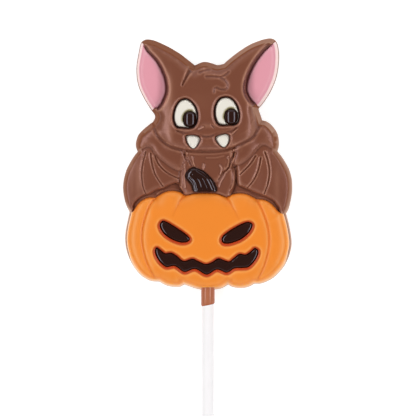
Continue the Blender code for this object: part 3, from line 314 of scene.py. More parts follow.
# Fine lines of the fur and the face: contours darkened by painted shade and raised strands lightened by
# painted highlights
FUR_CONTOURS = [
    [(8.7, 5.0), (9.1, 3.4), (8.2, 1.3), (7.6, -1.2), (7.1, -1.9), (5.5, -3.2), (4.8, -4.5), (3.8, -5.9)],
    [(-8.4, 4.1), (-8.1, 1.8), (-7.5, 1.1)],
    [(-6.8, 0.8), (-6.0, -0.9)],
]
NICKS = [
    [(1.4, 13.6), (2.3, 12.8)],
    [(21.2, 13.9), (21.9, 13.3)],
    [(23.1, 11.4), (23.6, 10.4)],
    [(23.7, 9.2), (24.0, 8.0)],
    [(-21.6, 13.4), (-21.2, 12.2)],
]
CHEST_FOLD = [(-0.5, 2.0), (3.0, 2.1), (5.6, 2.7)]
STRANDS = [
    [(-5.7, 2.4), (-5.3, 0.4), (-4.7, -1.0)],
    [(-1.6, -0.2), (-1.6, -1.9)],
    [(7.1, 2.4), (7.4, 0.8), (6.9, -1.2)],
    [(4.2, -0.5), (4.9, -1.9), (4.5, -3.8)],
    [(-7.6, 3.9), (-7.5, 2.4)],
    [(9.7, 3.6), (9.1, 1.4), (8.3, -0.4), (7.4, -2.2), (6.1, -3.6), (5.5, -4.8), (4.3, -7.0), (3.9, -8.4)],
    [(9.2, -1.4), (9.35, -3.4), (9.35, -5.2), (9.0, -7.4), (8.4, -9.0)],
    [(-8.5, -0.3), (-8.3, -3.2), (-8.5, -6.0), (-8.2, -8.6)],
    [(-9.8, -8.4), (-9.2, -9.4), (-8.5, -10.2)],
    [(-3.2, 12.2), (-1.5, 13.0)],
    [(-10.6, 12.0), (-9.0, 11.9)],
    [(8.5, 10.3), (9.4, 11.3), (10.6, 12.4)],
    [(-18.2, -11.0), (-17.3, -10.2), (-16.2, -9.8)],
    [(20.4, 14.8), (21.3, 14.2)],
    [(22.5, 13.0), (23.5, 12.0)],
    [(24.2, 10.2), (24.4, 8.8)],
    [(24.7, 7.9), (24.4, 6.7)],
    [(-22.2, 13.0), (-21.9, 12.0)],
]

# Fineness of the meshes
PITCH = 0.36
STEP = 0.5
SHARPEST_SINE = 0.3
SMOOTH_BELOW = math.radians(40.0)

# How strong the painted highlights on the rim and on the edges of the plates are, and the painted shade at
# the feet of the plates
RIM_HIGHLIGHT, EDGE_HIGHLIGHT, FOOT_SHADE = 0.06, 0.24, 0.3

# Broad gleams, painted highlights: centre x, centre y, half-width, half-height, strength
BROWN_GLEAMS = [
    (-13.8, 19.0, 1.6, 11.5, 0.28), (-24.9, -5.5, 1.0, 6.0, 0.28), (-27.2, -6.0, 0.7, 6.0, 0.15),
    (16.2, 15.0, 0.9, 5.0, 0.25), (24.6, -8.0, 1.0, 6.0, 0.2), (-4.0, 22.0, 6.0, 3.0, 0.05),
]
PUMPKIN_GLEAMS = [
    (-25.5, -23.5, 1.0, 8.0, 0.45), (-21.0, -22.0, 1.6, 9.0, 0.3), (20.9, -22.0, 0.7, 10.0, 0.3),
    (25.4, -23.0, 0.9, 8.0, 0.3), (12.5, -13.0, 2.0, 3.0, 0.15),
]

# Rounds of levelling that tell ridges from hollows, and how far distances are measured
ROUNDS = 12
REACH = 10.0


# Curves and distances
def smooth(points, step=STEP, closed=False):
    """A curve through the points, sampled about every step."""
    p = np.array(points, float)
    ends = (p[-1:], p[:2]) if closed else (2 * p[:1] - p[1:2], 2 * p[-1:] - p[-2:-1])
    p = np.concatenate([ends[0], p, ends[1]])
    found = []
    for a, b, c, d in zip(p, p[1:], p[2:], p[3:]):
        count = max(1, round(math.dist(b, c) / step))
        t = (np.arange(count) / count)[:, None]
        square = (2 * a - 5 * b + 4 * c - d) * t**2
        cube = (3 * b - a - 3 * c + d) * t**3
        found.append(0.5 * (2 * b + (c - a) * t + square + cube))
    if not closed:
        found.append(p[-2:-1])
    return np.concatenate(found)


def closed_line(points, step=STEP):
    """A closed curve through the points, counter-clockwise."""
    line = smooth(points, step, closed=True)
    after = np.roll(line, -1, axis=0)
    area = (line[:, 0] * after[:, 1] - line[:, 1] * after[:, 0]).sum()
    return line if area > 0 else line[::-1]


def normals(line, closed):
    """The left-hand normal at each point, longer at a corner so that an offset keeps its width."""
    ahead = np.roll(line, -1, axis=0) - line
    if not closed:
        ahead[-1] = ahead[-2]
    ahead /= np.linalg.norm(ahead, axis=1, keepdims=True)
    behind = np.roll(ahead, 1, axis=0)
    if not closed:
        behind[0] = ahead[0]
    total = ahead + behind
    length = np.linalg.norm(total, axis=1, keepdims=True)
    unit = total / length
    stretch = np.clip(2 / length, 1, 1.4)
    return np.stack([-unit[:, 1], unit[:, 0]], axis=1) * stretch


def offset(line, distance, closed=False):
    return line + normals(line, closed) * distance


def distance_to(line, points, closed=False, reach=REACH):
    """Distance from each point to the line, no more than the reach."""
    return nearest(line, points, closed, reach)[0]


def nearest(line, points, closed=False, reach=REACH):
    """Each point's distance to the line, no more than the reach, and the share of the line passed there."""
    order = np.argsort(points[:, 1])
    ordered = points[order]
    found = np.full(len(points), float(reach))
    passed = np.zeros(len(points))
    count = len(line) if closed else len(line) - 1
    for k in range(count):
        start, end = line[k], line[(k + 1) % len(line)]
        low = np.searchsorted(ordered[:, 1], min(start[1], end[1]) - reach)
        high = np.searchsorted(ordered[:, 1], max(start[1], end[1]) + reach)
        away = ordered[low:high] - start
        along = end - start
        t = np.clip(away @ along / (along @ along), 0, 1)
        gap = np.linalg.norm(away - t[:, None] * along, axis=1)
        nearer = gap < found[low:high]
        found[low:high][nearer] = gap[nearer]
        passed[low:high][nearer] = (k + t[nearer]) / count
    back = np.empty_like(order)
    back[order] = np.arange(len(order))
    return found[back], passed[back]


def inside(line, points):
    """Whether each point is inside the closed line."""
    x, y = points[:, 0], points[:, 1]
    found = np.zeros(len(points), bool)
    for (x0, y0), (x1, y1) in zip(line, np.roll(line, -1, axis=0)):
        if y0 != y1:
            crosses = (y0 > y) != (y1 > y)
            found ^= crosses & (x < x0 + (x1 - x0) * (y - y0) / (y1 - y0))
    return found


def clipped(line, ring, margin, seats=()):
    """The stretches of a line that stay clear of the ring, inside it and outside the seats."""
    kept = inside(ring, line) & (distance_to(ring, line, closed=True, reach=1.0) > margin)
    for seat in seats:
        kept &= ~inside(seat, line) & (distance_to(seat, line, closed=True, reach=1.0) > 0.12)
    turns = np.flatnonzero(np.diff(np.concatenate([[0], kept.astype(int), [0]])))
    return [line[start:end] for start, end in zip(turns[::2], turns[1::2]) if end - start > 1]


def rounded(depth, width):
    """A quarter round: 0 at the edge, 1 from width inwards."""
    return np.sqrt(1 - (1 - np.clip(depth / width, 0, 1)) ** 2)


def smoothstep(low, high, value):
    t = np.clip((value - low) / (high - low), 0, 1)
    return t * t * (3 - 2 * t)


def bell(x, wide, y=0.0, tall=1.0, power=2):
    """1 in the middle, falling off over a width and, where one is given, over a height."""
    return np.exp(-((x / wide) ** 2) - (y / tall) ** power)


# The ring of the body: its back outline and the lean of its wall
STROKES = [
    LEFT_EAR, LEFT_SHOULDER, LEFT_WING, PUMPKIN_LEFT_SIDE, *PUMPKIN_BOTTOM, PUMPKIN_RIGHT_SIDE, RIGHT_WING,
    RIGHT_SHOULDER, RIGHT_EAR, HEAD_TOP,
]
BACK = np.concatenate([smooth(stroke)[:-1] for stroke in STROKES])
LEAN = normals(BACK, True) * DRAFT
FRONT = BACK + LEAN


def ring_index(place):
    return int(np.argmin(np.linalg.norm(BACK - place, axis=1)))


def ring_stretch(first, last):
    """Indices of the ring's points from one place to another, counter-clockwise."""
    start, end = ring_index(first), ring_index(last)
    return [k % len(BACK) for k in range(start, end + (len(BACK) if end < start else 0) + 1)]


class Layer:
    """A coloured layer that is open to the side wall: its stretch of the ring and its inner border."""

    def __init__(self, first, last, inner, lip, split, seat):
        self.stretch = ring_stretch(first, last)
        self.border = inner
        self.lip = lip
        self.split = split
        self.seat_height = seat
        ends = FRONT[self.stretch[-1]], FRONT[self.stretch[0]]
        self.step = np.concatenate([[ends[0]], offset(inner, -GAP), [ends[1]]])
        self.region = np.concatenate([FRONT[self.stretch], self.step[1:-1]])
        self.inset = self.inset_line()

    def inset_line(self):
        """The line behind the lip, where the seat becomes flat."""
        line = FRONT[self.stretch] + LEAN[self.stretch] / DRAFT * self.lip
        kept = inside(self.region, line) & (distance_to(self.step, line) > 0.8)
        return line[kept]

    def seat(self, points):
        """The surface that parts this layer from the brown chocolate below it."""
        behind = np.clip(distance_to(FRONT[self.stretch], points) / self.lip, 0, 1)
        return self.split(points) + (self.seat_height - self.split(points)) * behind

    def outline(self):
        """The layer's own ring, a gap clear of the brown chocolate at its inner border, and its lean."""
        front = FRONT[self.stretch].copy()
        lean = LEAN[self.stretch].copy()
        for end, inner, meeting in ((0, 1, -1), (-1, -2, 0)):
            along = front[inner] - front[end]
            across = self.border[meeting] - front[end]
            length = np.linalg.norm(along)
            sine = abs(along[0] * across[1] - along[1] * across[0]) / (length * np.linalg.norm(across))
            share = min(0.9, GAP / max(sine, SHARPEST_SINE) / length)
            front[end] += along * share
            lean[end] += (lean[inner] - lean[end]) * share
        return (
            np.concatenate([front, self.border]),
            np.concatenate([lean, np.zeros_like(self.border)]),
        )


def pumpkin_split(points):
    rise = smoothstep(PUMPKIN_SPLIT_START, PUMPKIN_SPLIT_END, points[:, 1])
    return PUMPKIN_SPLIT_LOW + (SEAT - PUMPKIN_SPLIT_LOW) * rise


def ear_split(points):
    return np.full(len(points), EAR_SPLIT)


def border(strokes):
    """The strokes as one line, turned round so that it closes a counter-clockwise ring."""
    parts = [smooth(stroke)[:-1] for stroke in strokes] + [[strokes[-1][-1]]]
    return np.concatenate(parts)[::-1]


def ear_layer(first, last, edge):
    return Layer(first, last, border([edge]), EAR_LIP, ear_split, EAR_SEAT)


PUMPKIN = Layer(
    PUMPKIN_LEFT_SIDE[0], PUMPKIN_RIGHT_SIDE[-1], border(PUMPKIN_TOP), LIP, pumpkin_split, SEAT
)
LEFT_PINK = ear_layer(LEFT_EAR_TIP, LEFT_EAR_FOOT, LEFT_EAR_BORDER)
RIGHT_PINK = ear_layer(RIGHT_EAR_FOOT, RIGHT_EAR_TIP, RIGHT_EAR_BORDER)

# Heights of the relief
PLATE_LINES = [closed_line(plate[0]) for plate in PLATES]
SOCKETS = [closed_line(LEFT_SOCKET), closed_line(RIGHT_SOCKET)]
FANG_HOLES = [closed_line(LEFT_FANG), closed_line(RIGHT_FANG)]
STEM_HOLE = closed_line(STEM)
RIDGES = [smooth(line, STEP * 0.6) for line in STEM_RIDGES]


class Mark:
    """A narrow crease with raised edges, or a raised strand with low edges: its depth and half-width from
    one end to the other, the height of its edges, and the strength of its painted shade and painted
    highlight."""

    def __init__(self, points, depth, width, edge, dark, pale, raised=False):
        self.line = smooth(points, 0.35)
        self.depth, self.width, self.edge = depth, width, edge
        self.dark, self.pale = dark, pale
        self.sign = 1 if raised else -1

    def profile(self, points):
        """The points near, their share of the line, and how much they lie on it and on its edges."""
        far, passed = nearest(self.line, points, reach=MARK_REACH)
        near = np.flatnonzero(far < MARK_REACH)
        passed = passed[near]
        widths = far[near] / (self.width[0] + (self.width[1] - self.width[0]) * passed)
        return near, passed, bell(widths, 1.0), bell(widths - EDGE_AWAY, EDGE_WIDTH)

    def height(self, points):
        z = np.zeros(len(points))
        near, passed, middle, edges = self.profile(points)
        depth = self.depth[0] + (self.depth[1] - self.depth[0]) * passed
        z[near] = self.sign * (depth * middle - self.edge * edges)
        return z

    # Painted shade in a crease or on a strand's low edges, and a painted highlight on a strand or on a
    # crease's raised edges
    def shade(self, points):
        dark, pale = np.zeros(len(points)), np.zeros(len(points))
        near, _, middle, edges = self.profile(points)
        dark[near] = self.dark * (edges if self.sign > 0 else middle)
        pale[near] = self.pale * (middle if self.sign > 0 else edges)
        return dark, pale


MARK_REACH = 2.2
EDGE_AWAY, EDGE_WIDTH = 2.1, 0.8

# Kinds of marks: depth and half-width at both ends, height of the edges, strength of painted shade, strength
# of painted highlight, whether raised
MARK_KINDS = [
    (LEFT_RIBS, (0.35, 0.3), (0.2, 0.18), 0.14, 0.25, 0.3),
    (RIGHT_RIBS, (0.35, 0.3), (0.2, 0.18), 0.2, 0.3, 0.55),
    (HAIR_CREASES, (0.3, 0.25), (0.34, 0.3), 0.1, 0.22, 0.12),
    (FUR_CONTOURS + NICKS, (0.3, 0.25), (0.24, 0.22), 0.05, 0.4, 0.1),
    (STRANDS, (0.2, 0.15), (0.22, 0.2), 0.1, 0.25, 0.6, True),
    ([CHEST_FOLD], (0.12, 0.12), (0.3, 0.3), 0.05, 0.1, 0.25, True),
    ([SMILE], (0.3, 0.3), (0.34, 0.34), 0.06, 0.32, 0.12),
    ([EAR_CREASE], (0.8, 0.3), (0.6, 0.2), 0.12, 0.4, 0.2),
    ([CHIN], (0.4, 0.4), (0.42, 0.42), 0.08, 0.3, 0.1),
]
MARKS = [Mark(line, *kind) for lines, *kind in MARK_KINDS for line in lines]
HOLES = [closed_line(line) for line in (PUMPKIN_LEFT_EYE, PUMPKIN_RIGHT_EYE, PUMPKIN_MOUTH)]
GROOVE_LINES = [smooth(points) for points, _, _ in GROOVES]


def brown_height(points):
    x, y = points[:, 0], points[:, 1]
    z = np.full(len(points), STRIP)
    for (_, low, high, width), line in zip(PLATES, PLATE_LINES):
        depth = distance_to(line, points, closed=True)
        plate = low + (high - low) * rounded(depth, width)
        z = np.where(inside(line, points), np.maximum(z, plate), z)
    across, along = x - FILLING_CENTRE[0], y - FILLING_CENTRE[1]
    filling = FILLING * bell(across, FILLING_SIZE[0], along, FILLING_SIZE[1])
    z = np.where(z <= STRIP, STRIP + filling, z)
    for centre_x, centre_y, wide, tall, height in SWELLINGS:
        z += height * bell(x - centre_x, wide, y - centre_y, tall)
    across = smoothstep(*DOME_LEFT, x) * smoothstep(*DOME_RIGHT, x)
    z += DOME * across * smoothstep(*DOME_BELOW, y) * smoothstep(*DOME_ABOVE, y)
    for mark in MARKS:
        z += mark.height(points)
    for line in SOCKETS + FANG_HOLES:
        z += RAISED * ring_at(line, points, RAISED_AWAY, RAISED_WIDTH)
    for layer in (LEFT_PINK, RIGHT_PINK):
        near = distance_to(layer.step[1:-1], points)
        low = EAR_FACE + 0.1
        z = np.where(z > low, low + (z - low) * smoothstep(-0.2, 1.3, near), z)
    edge = rounded(distance_to(FRONT, points, closed=True), EDGE_ROUNDING)
    return np.where(z > RIM, RIM + (z - RIM) * edge, z)


def pumpkin_height(points):
    outline = PUMPKIN.outline()[0]
    z = FACE_EDGE + (FACE_TOP - FACE_EDGE) * rounded(distance_to(outline, points, closed=True), FACE_WIDTH)
    for (_, first, last), line in zip(GROOVES, GROOVE_LINES):
        gap, passed = nearest(line, points)
        depth = np.minimum(first + (last - first) * passed, z - FACE_EDGE + 0.3)
        z -= depth * (0.8 * np.exp(-gap / GROOVE_WIDTH) + 0.35 * bell(gap, 0.4))
    for line in HOLES:
        near = distance_to(line, points + (0.0, HOLE_SHIFT), closed=True)
        z -= RECESS * (1 - smoothstep(0.1, RECESS_WIDTH + 0.4, near))
    return z


def ear_height(layer):
    outline = layer.outline()[0]

    def height(points):
        depth = distance_to(outline, points, closed=True)
        return EAR_RIM + (EAR_FACE - EAR_RIM) * rounded(depth, EAR_BEVEL)

    return height


def domed(line, edge, top, width):
    return lambda points: edge + (top - edge) * rounded(distance_to(line, points, closed=True), width)


def stem_height(points):
    """A round stem with fine grooves, cut straight across at its foot."""
    sides = started(STEM_HOLE, STEM_HOLE[:, 1] > STEM_HOLE[:, 1].min() + 0.5)
    z = STEM_EDGE + (STEM_TOP - STEM_EDGE) * rounded(distance_to(sides, points), 3.4)
    for line in RIDGES:
        z -= 0.16 * bell(distance_to(line, points, reach=3.0), 0.26)
    return z


def flat(height):
    return lambda points: np.full(len(points), height)


# The cells of a fine grid that belong to the side wall, which gets the paler wall look, painted light, up to
# its reach into the face
WALL_REACH = 0.6
CELL, HALF_WIDTH, HALF_LENGTH = 0.1, 40, 60
columns, rows = np.arange(-HALF_WIDTH, HALF_WIDTH, CELL), np.arange(-HALF_LENGTH, HALF_LENGTH, CELL)
every = np.stack([np.repeat(columns, len(rows)), np.tile(rows, len(columns))], axis=1)
OUTER = ~inside(offset(FRONT, WALL_REACH, True), every).reshape(len(columns), len(rows))


# Mesh making
def triangulated(ring, lines, loops, pitch):
    """Triangles over the ring's inside, following the lines and loops, with a grid of points between them."""
    places = [ring]
    edges = [(k, (k + 1) % len(ring)) for k in range(len(ring))]
    count = len(ring)
    for line, closed in [(line, False) for line in lines] + [(line, True) for line in loops]:
        places.append(line)
        last = len(line) if closed else len(line) - 1
        edges += [(count + k, count + (k + 1) % len(line)) for k in range(last)]
        count += len(line)
    if pitch:
        places.append(grid(ring, lines, loops, pitch))
    flat_points = [Vector(p) for p in np.concatenate(places)]
    points, _, faces, origin, _, _ = delaunay_2d_cdt(flat_points, edges, [], 0, 1e-5)
    points = np.array([tuple(p) for p in points])
    faces = np.array(faces)
    faces = faces[inside(ring, points[faces].mean(axis=1))]
    ring_of = {k: min(source) for k, source in enumerate(origin) if source and min(source) < len(ring)}
    return points, faces, ring_of


def grid(ring, lines, loops, pitch):
    """A triangular grid inside the ring that stays clear of every line."""
    low, high = ring.min(axis=0), ring.max(axis=0)
    rows = np.arange(low[1], high[1], pitch * math.sqrt(0.75))
    columns = np.arange(low[0], high[0], pitch)
    x = columns[None, :] + (np.arange(len(rows)) % 2)[:, None] * pitch / 2
    points = np.stack([x.ravel(), np.repeat(rows, len(columns))], axis=1)
    points = points[inside(ring, points)]
    clear = distance_to(ring, points, closed=True) > pitch * 0.6
    for line in lines:
        clear &= distance_to(line, points) > pitch * 0.55
    for line in loops:
        clear &= distance_to(line, points, closed=True) > pitch * 0.55
    return points[clear]


class Surface:
    """One side of a solid: a base height with regions that have heights of their own."""

    def __init__(self, ring, height, regions=(), lines=(), loops=(), pitch=None):
        self.points, self.faces, self.ring_of = triangulated(ring, lines, loops, pitch)
        centres = self.points[self.faces].mean(axis=1)
        self.region_of = np.zeros(len(self.faces), int)
        for number, (outline, _) in enumerate(regions, 1):
            self.region_of[inside(outline, centres) & (self.region_of == 0)] = number
        self.heights = []
        for number, region_height in enumerate([height, *(region[1] for region in regions)]):
            used = np.unique(self.faces[self.region_of == number])
            heights = np.zeros(len(self.points))
            heights[used] = region_height(self.points[used])
            self.heights.append(heights)


class Solid:
    """A closed body between a bottom and a top surface that share one ring."""

    def __init__(self, ring, lean, top, bottom):
        self.mesh = bmesh.new()
        self.ring, self.lean = ring, lean
        self.made = {}
        tops, bottoms = self.side(top, "top"), self.side(bottom, "bottom")
        for k in range(len(ring)):
            ahead = (k + 1) % len(ring)
            top_a, top_b, above_a, above_b = tops[k, ahead]
            bottom_a, bottom_b, below_a, below_b = bottoms[k, ahead]
            self.strip((top_a, bottom_a), (top_b, bottom_b), above_a | below_a, above_b | below_b)
        self.close()

    def vertex(self, key, place, z, lean):
        """One vertex for each place and height, moved out with the side wall's lean."""
        name = key, round(z, 3)
        if name not in self.made:
            x, y = place - lean * max(0.0, 1 - z / RIM)
            self.made[name] = self.mesh.verts.new((x * MM, y * MM, z * MM))
        return name

    def side(self, surface, label):
        """The faces of one surface with its steps, and the height that each ring edge ends at."""
        ring_of = surface.ring_of

        def corner(point, region):
            place, z = surface.points[point], float(surface.heights[region][point])
            if point in ring_of:
                return self.vertex(("ring", ring_of[point]), place, z, self.lean[ring_of[point]])
            return self.vertex((label, point), place, z, np.zeros(2))

        levels, across, edge_ends = {}, {}, {}
        for face, region in zip(surface.faces.tolist(), surface.region_of.tolist()):
            names = [corner(point, region) for point in face]
            self.mesh.faces.new([self.made[name] for name in names])
            for place, name in zip(face, names):
                levels.setdefault(place, set()).add(name)
            for k in range(3):
                pair = face[k], face[(k + 1) % 3]
                across.setdefault(tuple(sorted(pair)), []).append(dict(zip(face, names)))
        for (a, b), found in across.items():
            if len(found) == 2:
                one, other = found
                self.strip((one[a], other[a]), (one[b], other[b]), levels[a], levels[b])
            elif a in ring_of and b in ring_of:
                edge_ends[ring_of[a], ring_of[b]] = found[0][a], found[0][b], levels[a], levels[b]
                edge_ends[ring_of[b], ring_of[a]] = found[0][b], found[0][a], levels[b], levels[a]
        return edge_ends

    def between(self, names, start, end):
        """The names strictly between two heights, in order from start to end."""
        low, high = sorted((start[1], end[1]))
        found = sorted((name for name in names if low < name[1] < high), key=lambda name: name[1])
        return found if start[1] < end[1] else found[::-1]

    def strip(self, a, b, levels_a, levels_b):
        """The upright strip between two heights at one place and at the next, through all levels."""
        loop = [a[0], b[0], *self.between(levels_b, *b), b[1], a[1], *self.between(levels_a, *a[::-1])]
        kept = [name for k, name in enumerate(loop) if name != loop[k - 1]]
        if len(kept) > 2:
            self.mesh.faces.new([self.made[name] for name in kept])

    def close(self):
        bmesh.ops.triangulate(self.mesh, faces=self.mesh.faces[:])
        bmesh.ops.recalc_face_normals(self.mesh, faces=self.mesh.faces[:])


def side_shade(points):
    """Painted light on the side walls: paler, least at the head, more at the right and most of all beside the
    pumpkin.
    """
    right = smoothstep(-10.0, 15.0, points[:, 0])
    low = smoothstep(13.0, 19.0, -points[:, 1])
    high = smoothstep(5.0, 20.0, points[:, 1])
    return 0.16 * high - 0.2 - 0.18 * right - (0.8 - 0.4 * right) * low


def mark_relief(data, shade):
    """Stores how far each point stands above or below its surroundings, in millimetres, which the looks paint
    as shade and highlight, and its painted shade or highlight.
    """
    def read(items, key, kind, width=1):
        values = np.zeros(len(items) * width, kind)
        items.foreach_get(key, values)
        return values

    count = len(data.vertices)
    places = read(data.vertices, "co", float, 3).reshape(-1, 3) / MM
    z = places[:, 2]
    rises = read(data.polygons, "normal", float, 3)[2::3]
    corners = read(data.loops, "vertex_index", int)
    sizes = read(data.polygons, "loop_total", int)
    upward = np.repeat(rises > 0.3, sizes)
    after = np.roll(corners, -1)
    after[np.cumsum(sizes) - 1] = corners[np.cumsum(sizes) - sizes]
    a, b = corners[upward], after[upward]
    number = np.bincount(a, minlength=count) + np.bincount(b, minlength=count)
    held = number == 0
    level = z
    for _ in range(ROUNDS):
        total = np.bincount(a, level[b], count) + np.bincount(b, level[a], count)
        level = np.where(held, z, 0.5 * level + 0.5 * total / np.maximum(number, 1))
    relief = (z - level) * smoothstep(0.3, 1.2, distance_to(FRONT, places[:, :2], closed=True, reach=3.0))
    shades = np.where(held, side_shade(places), shade(places[:, :2]))
    for name, values in (("relief", relief), ("shade", shades)):
        mark = data.attributes.new(name, "FLOAT", "POINT")
        mark.data.foreach_set("value", values.astype(np.float32))


def is_outer(place):
    """Whether a point in metres lies in a cell of the side wall."""
    x, y = place.x / MM, place.y / MM
    return OUTER[round((x + HALF_WIDTH) / CELL), round((y + HALF_LENGTH) / CELL)]


def plain(points):
    return np.zeros(len(points))


def ring_at(line, points, away, width):
    """1 on the ring that runs at a distance round a closed line, falling off to both sides."""
    return bell(distance_to(line, points, closed=True, reach=3.0) - away, width)


def within(line, points, low, high, closed=True):
    """1 beside a line up to the low distance, falling to 0 at the high one."""
    return 1 - smoothstep(low, high, distance_to(line, points, closed, reach=3.0))


def gleam(places, points):
    """How much the broad soft gleams, painted highlights, lighten the points."""
    total = np.zeros(len(points))
    for x, y, wide, tall, amount in places:
        total += amount * bell(points[:, 0] - x, wide, points[:, 1] - y, tall, power=4)
    return total


def rim_shade(points):
    """A painted highlight: the pale line along the upper edge of the side wall."""
    return -RIM_HIGHLIGHT * within(FRONT, points, 0.0, 0.3)


def brown_shade(points):
    """Above 0, painted shade in holes and creases and at the feet of plates, and below 0, painted highlights
    on edges and ridges.
    """
    # A painted highlight along the rim of the face
    dark, pale = np.zeros(len(points)), RIM_HIGHLIGHT * within(FRONT, points, 0.0, 0.3)
    # Painted shade at the feet of the plates and painted highlights along their edges
    for line in PLATE_LINES:
        covered = inside(line, points)
        dark[covered] = 0
        pale[covered] *= within(line, points[covered], 0.0, 0.1)
        dark = np.maximum(dark, ~covered * FOOT_SHADE * within(line, points, 0.1, 0.6))
        pale = np.maximum(pale, covered * EDGE_HIGHLIGHT * ring_at(line, points, 0.35, 0.22))
    # Broad painted highlights
    pale = np.maximum(pale, gleam(BROWN_GLEAMS, points))
    # A painted highlight on the ridge just outside the pumpkin
    pale = np.maximum(pale, 0.45 * bell(distance_to(PUMPKIN.step, points, reach=3.0) - 0.45, 0.25))
    for mark in MARKS:
        mark_dark, mark_pale = mark.shade(points)
        dark, pale = np.maximum(dark, mark_dark), np.maximum(pale, mark_pale)
    # Painted shade on the sloping wall beside each pink layer, wider on the right, and a painted highlight on
    # the ridge beyond it
    for layer, width in ((LEFT_PINK, 0.75), (RIGHT_PINK, 1.2)):
        line = layer.step[1:-1]
        dark = np.maximum(dark, 0.35 * within(line, points, width - 0.2, width + 0.15, closed=False))
        far = distance_to(line, points, reach=3.0)
        pale = np.maximum(pale, 0.35 * bell(far - width - 0.3, 0.2))
    # Painted shade in the sockets and fang holes and just round them, and a painted highlight on a ring
    # outside: hole, strength of the shade, strength of the highlight
    rims = [(line, 0.7, 0.4) for line in SOCKETS] + [(line, 0.3, 0.3) for line in FANG_HOLES]
    for line, depth, edge in rims:
        hole = inside(line, points)
        dark = np.where(hole, depth, np.maximum(dark, 0.4 * depth * within(line, points, 0.0, 0.2)))
        pale = np.maximum(pale, ~hole * edge * ring_at(line, points, 0.5, 0.2))
    # Painted shade in the stem's hole and round it
    hole = inside(STEM_HOLE, points)
    dark = np.where(hole, 1.0, np.maximum(dark, 0.7 * within(STEM_HOLE, points, 0.1, 0.4)))
    return dark - pale * (1 - dark)


def pumpkin_shade(points):
    """Painted shade at the rims of its holes, where the orange chocolate is also thin over dark, and a little
    in its grooves; painted highlights round the holes and in broad gleams.
    """
    shade = np.zeros(len(points))
    # Painted shade on the rims of the holes, shifted down, where the orange is also thin over dark, and a
    # painted highlight on a ring round each hole
    for line in HOLES:
        low = points + (0.0, HOLE_SHIFT)
        shade = np.maximum(shade, within(line, low, 0.4, 0.95))
        shade = np.maximum(shade, inside(line, points) * 1.0)
        shade -= 0.3 * ring_at(line, low, 1.3, 0.3)
    # Broad painted highlights
    shade -= gleam(PUMPKIN_GLEAMS, points)
    # Painted shade in the grooves
    for line in GROOVE_LINES:
        far = distance_to(line, points, reach=3.0)
        shade = np.maximum(shade, 0.1 * bell(far, 0.4))
    return shade


def eye_shade(centre):
    """The white is thin, so olive, above and to the left of the pupil."""

    def shade(points):
        line = oval(centre)
        away = points - centre
        turned_to = (away[:, 1] - away[:, 0]) / np.maximum(np.linalg.norm(away, axis=1), 0.01)
        return smoothstep(0.2, 0.9, turned_to) * within(line, points, 0.45, 1.15)

    return shade


def linked(name, data):
    """A new object in the scene from its data."""
    made = bpy.data.objects.new(name, data)
    bpy.context.scene.collection.objects.link(made)
    return made


def add_piece(name, mesh, surface, nodes, shade=plain, wall=None, steep=0.45):
    """A piece of the object from a bmesh, which stands for the CAD nodes named."""
    data = bpy.data.meshes.new(name)
    mesh.to_mesh(data)
    mesh.free()
    data.shade_smooth()
    data.set_sharp_from_angle(angle=SMOOTH_BELOW)
    data.materials.append(surface)
    if wall:
        data.materials.append(wall)
        for polygon in data.polygons:
            polygon.material_index = int(abs(polygon.normal.z) < steep and is_outer(polygon.center))
    mark_relief(data, shade)
    made = linked(name, data)
    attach(made, "root")
    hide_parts(*nodes)


def inlay(name, line, height, floor, surface, shade=plain, lines=()):
    """A small filled shape that is sunk a little into its hole."""
    top = Surface(line, height, lines=lines, pitch=PITCH * 0.7)
    mesh = Solid(line, np.zeros_like(line), top, Surface(line, flat(floor - SUNK))).mesh
    add_piece(name + "_fine", mesh, surface, [name], shade)


def oval(centre, margin=0.0, sides=64):
    """The outline of a pupil, widened all round by the margin."""
    angles = np.linspace(0, 2 * math.pi, sides, endpoint=False)
    half = PUPIL_HALF_WIDTH + margin, PUPIL_HALF_HEIGHT + margin
    return np.stack([np.cos(angles), np.sin(angles)], axis=1) * half + centre


def started(line, kept):
    """The kept points of a closed line as one run."""
    first = int(np.flatnonzero(kept & ~np.roll(kept, 1))[0])
    return np.roll(line, -first, axis=0)[np.roll(kept, -first)]


def crescent(line, hole):
    """The closed line without what lies inside the hole's outline."""
    outer = started(line, ~inside(hole, line))
    return np.concatenate([outer, started(hole, inside(line, hole))[::-1]])


def pupil_height(centre):
    """A barrel with rounded ends, which mirrors each side light as one upright streak."""

    def height(points):
        x = (points[:, 0] - centre[0]) / PUPIL_CURVE
        y = (points[:, 1] - centre[1]) / PUPIL_HALF_HEIGHT * 0.9
        return PUPIL_TOP + PUPIL_CURVE * (np.sqrt(np.maximum(0.0, 1 - x**2 - y**4)) - 1)

    return height


def turned(name, profile, surface, nodes, sides=64, slant=0.0):
    """A closed round piece along the stick's axis from (place, radius) pairs, slanted at the neck's end."""
    mesh = bmesh.new()
    rings = []
    for place, radius in profile:
        ring = []
        for k in range(sides):
            angle = 2 * math.pi * k / sides
            x, z = STICK_AXIS[0] + radius * math.cos(angle), STICK_AXIS[1] + radius * math.sin(angle)
            lean = slant * math.cos(angle) if place <= NECK_END + SLANT_REACH else 0.0
            ring.append(mesh.verts.new((x * MM, (place + lean) * MM, z * MM)))
        rings.append(ring)
    for one, other in zip(rings, rings[1:]):
        for k in range(sides):
            ahead = (k + 1) % sides
            mesh.faces.new([one[k], one[ahead], other[ahead], other[k]])
    mesh.faces.new(rings[0])
    mesh.faces.new(rings[-1])
    bmesh.ops.recalc_face_normals(mesh, faces=mesh.faces[:])
    add_piece(name, mesh, surface, nodes)


def ended(line):
    """A closed line as an open one that ends where it starts."""
    return np.concatenate([line, line[:1]])


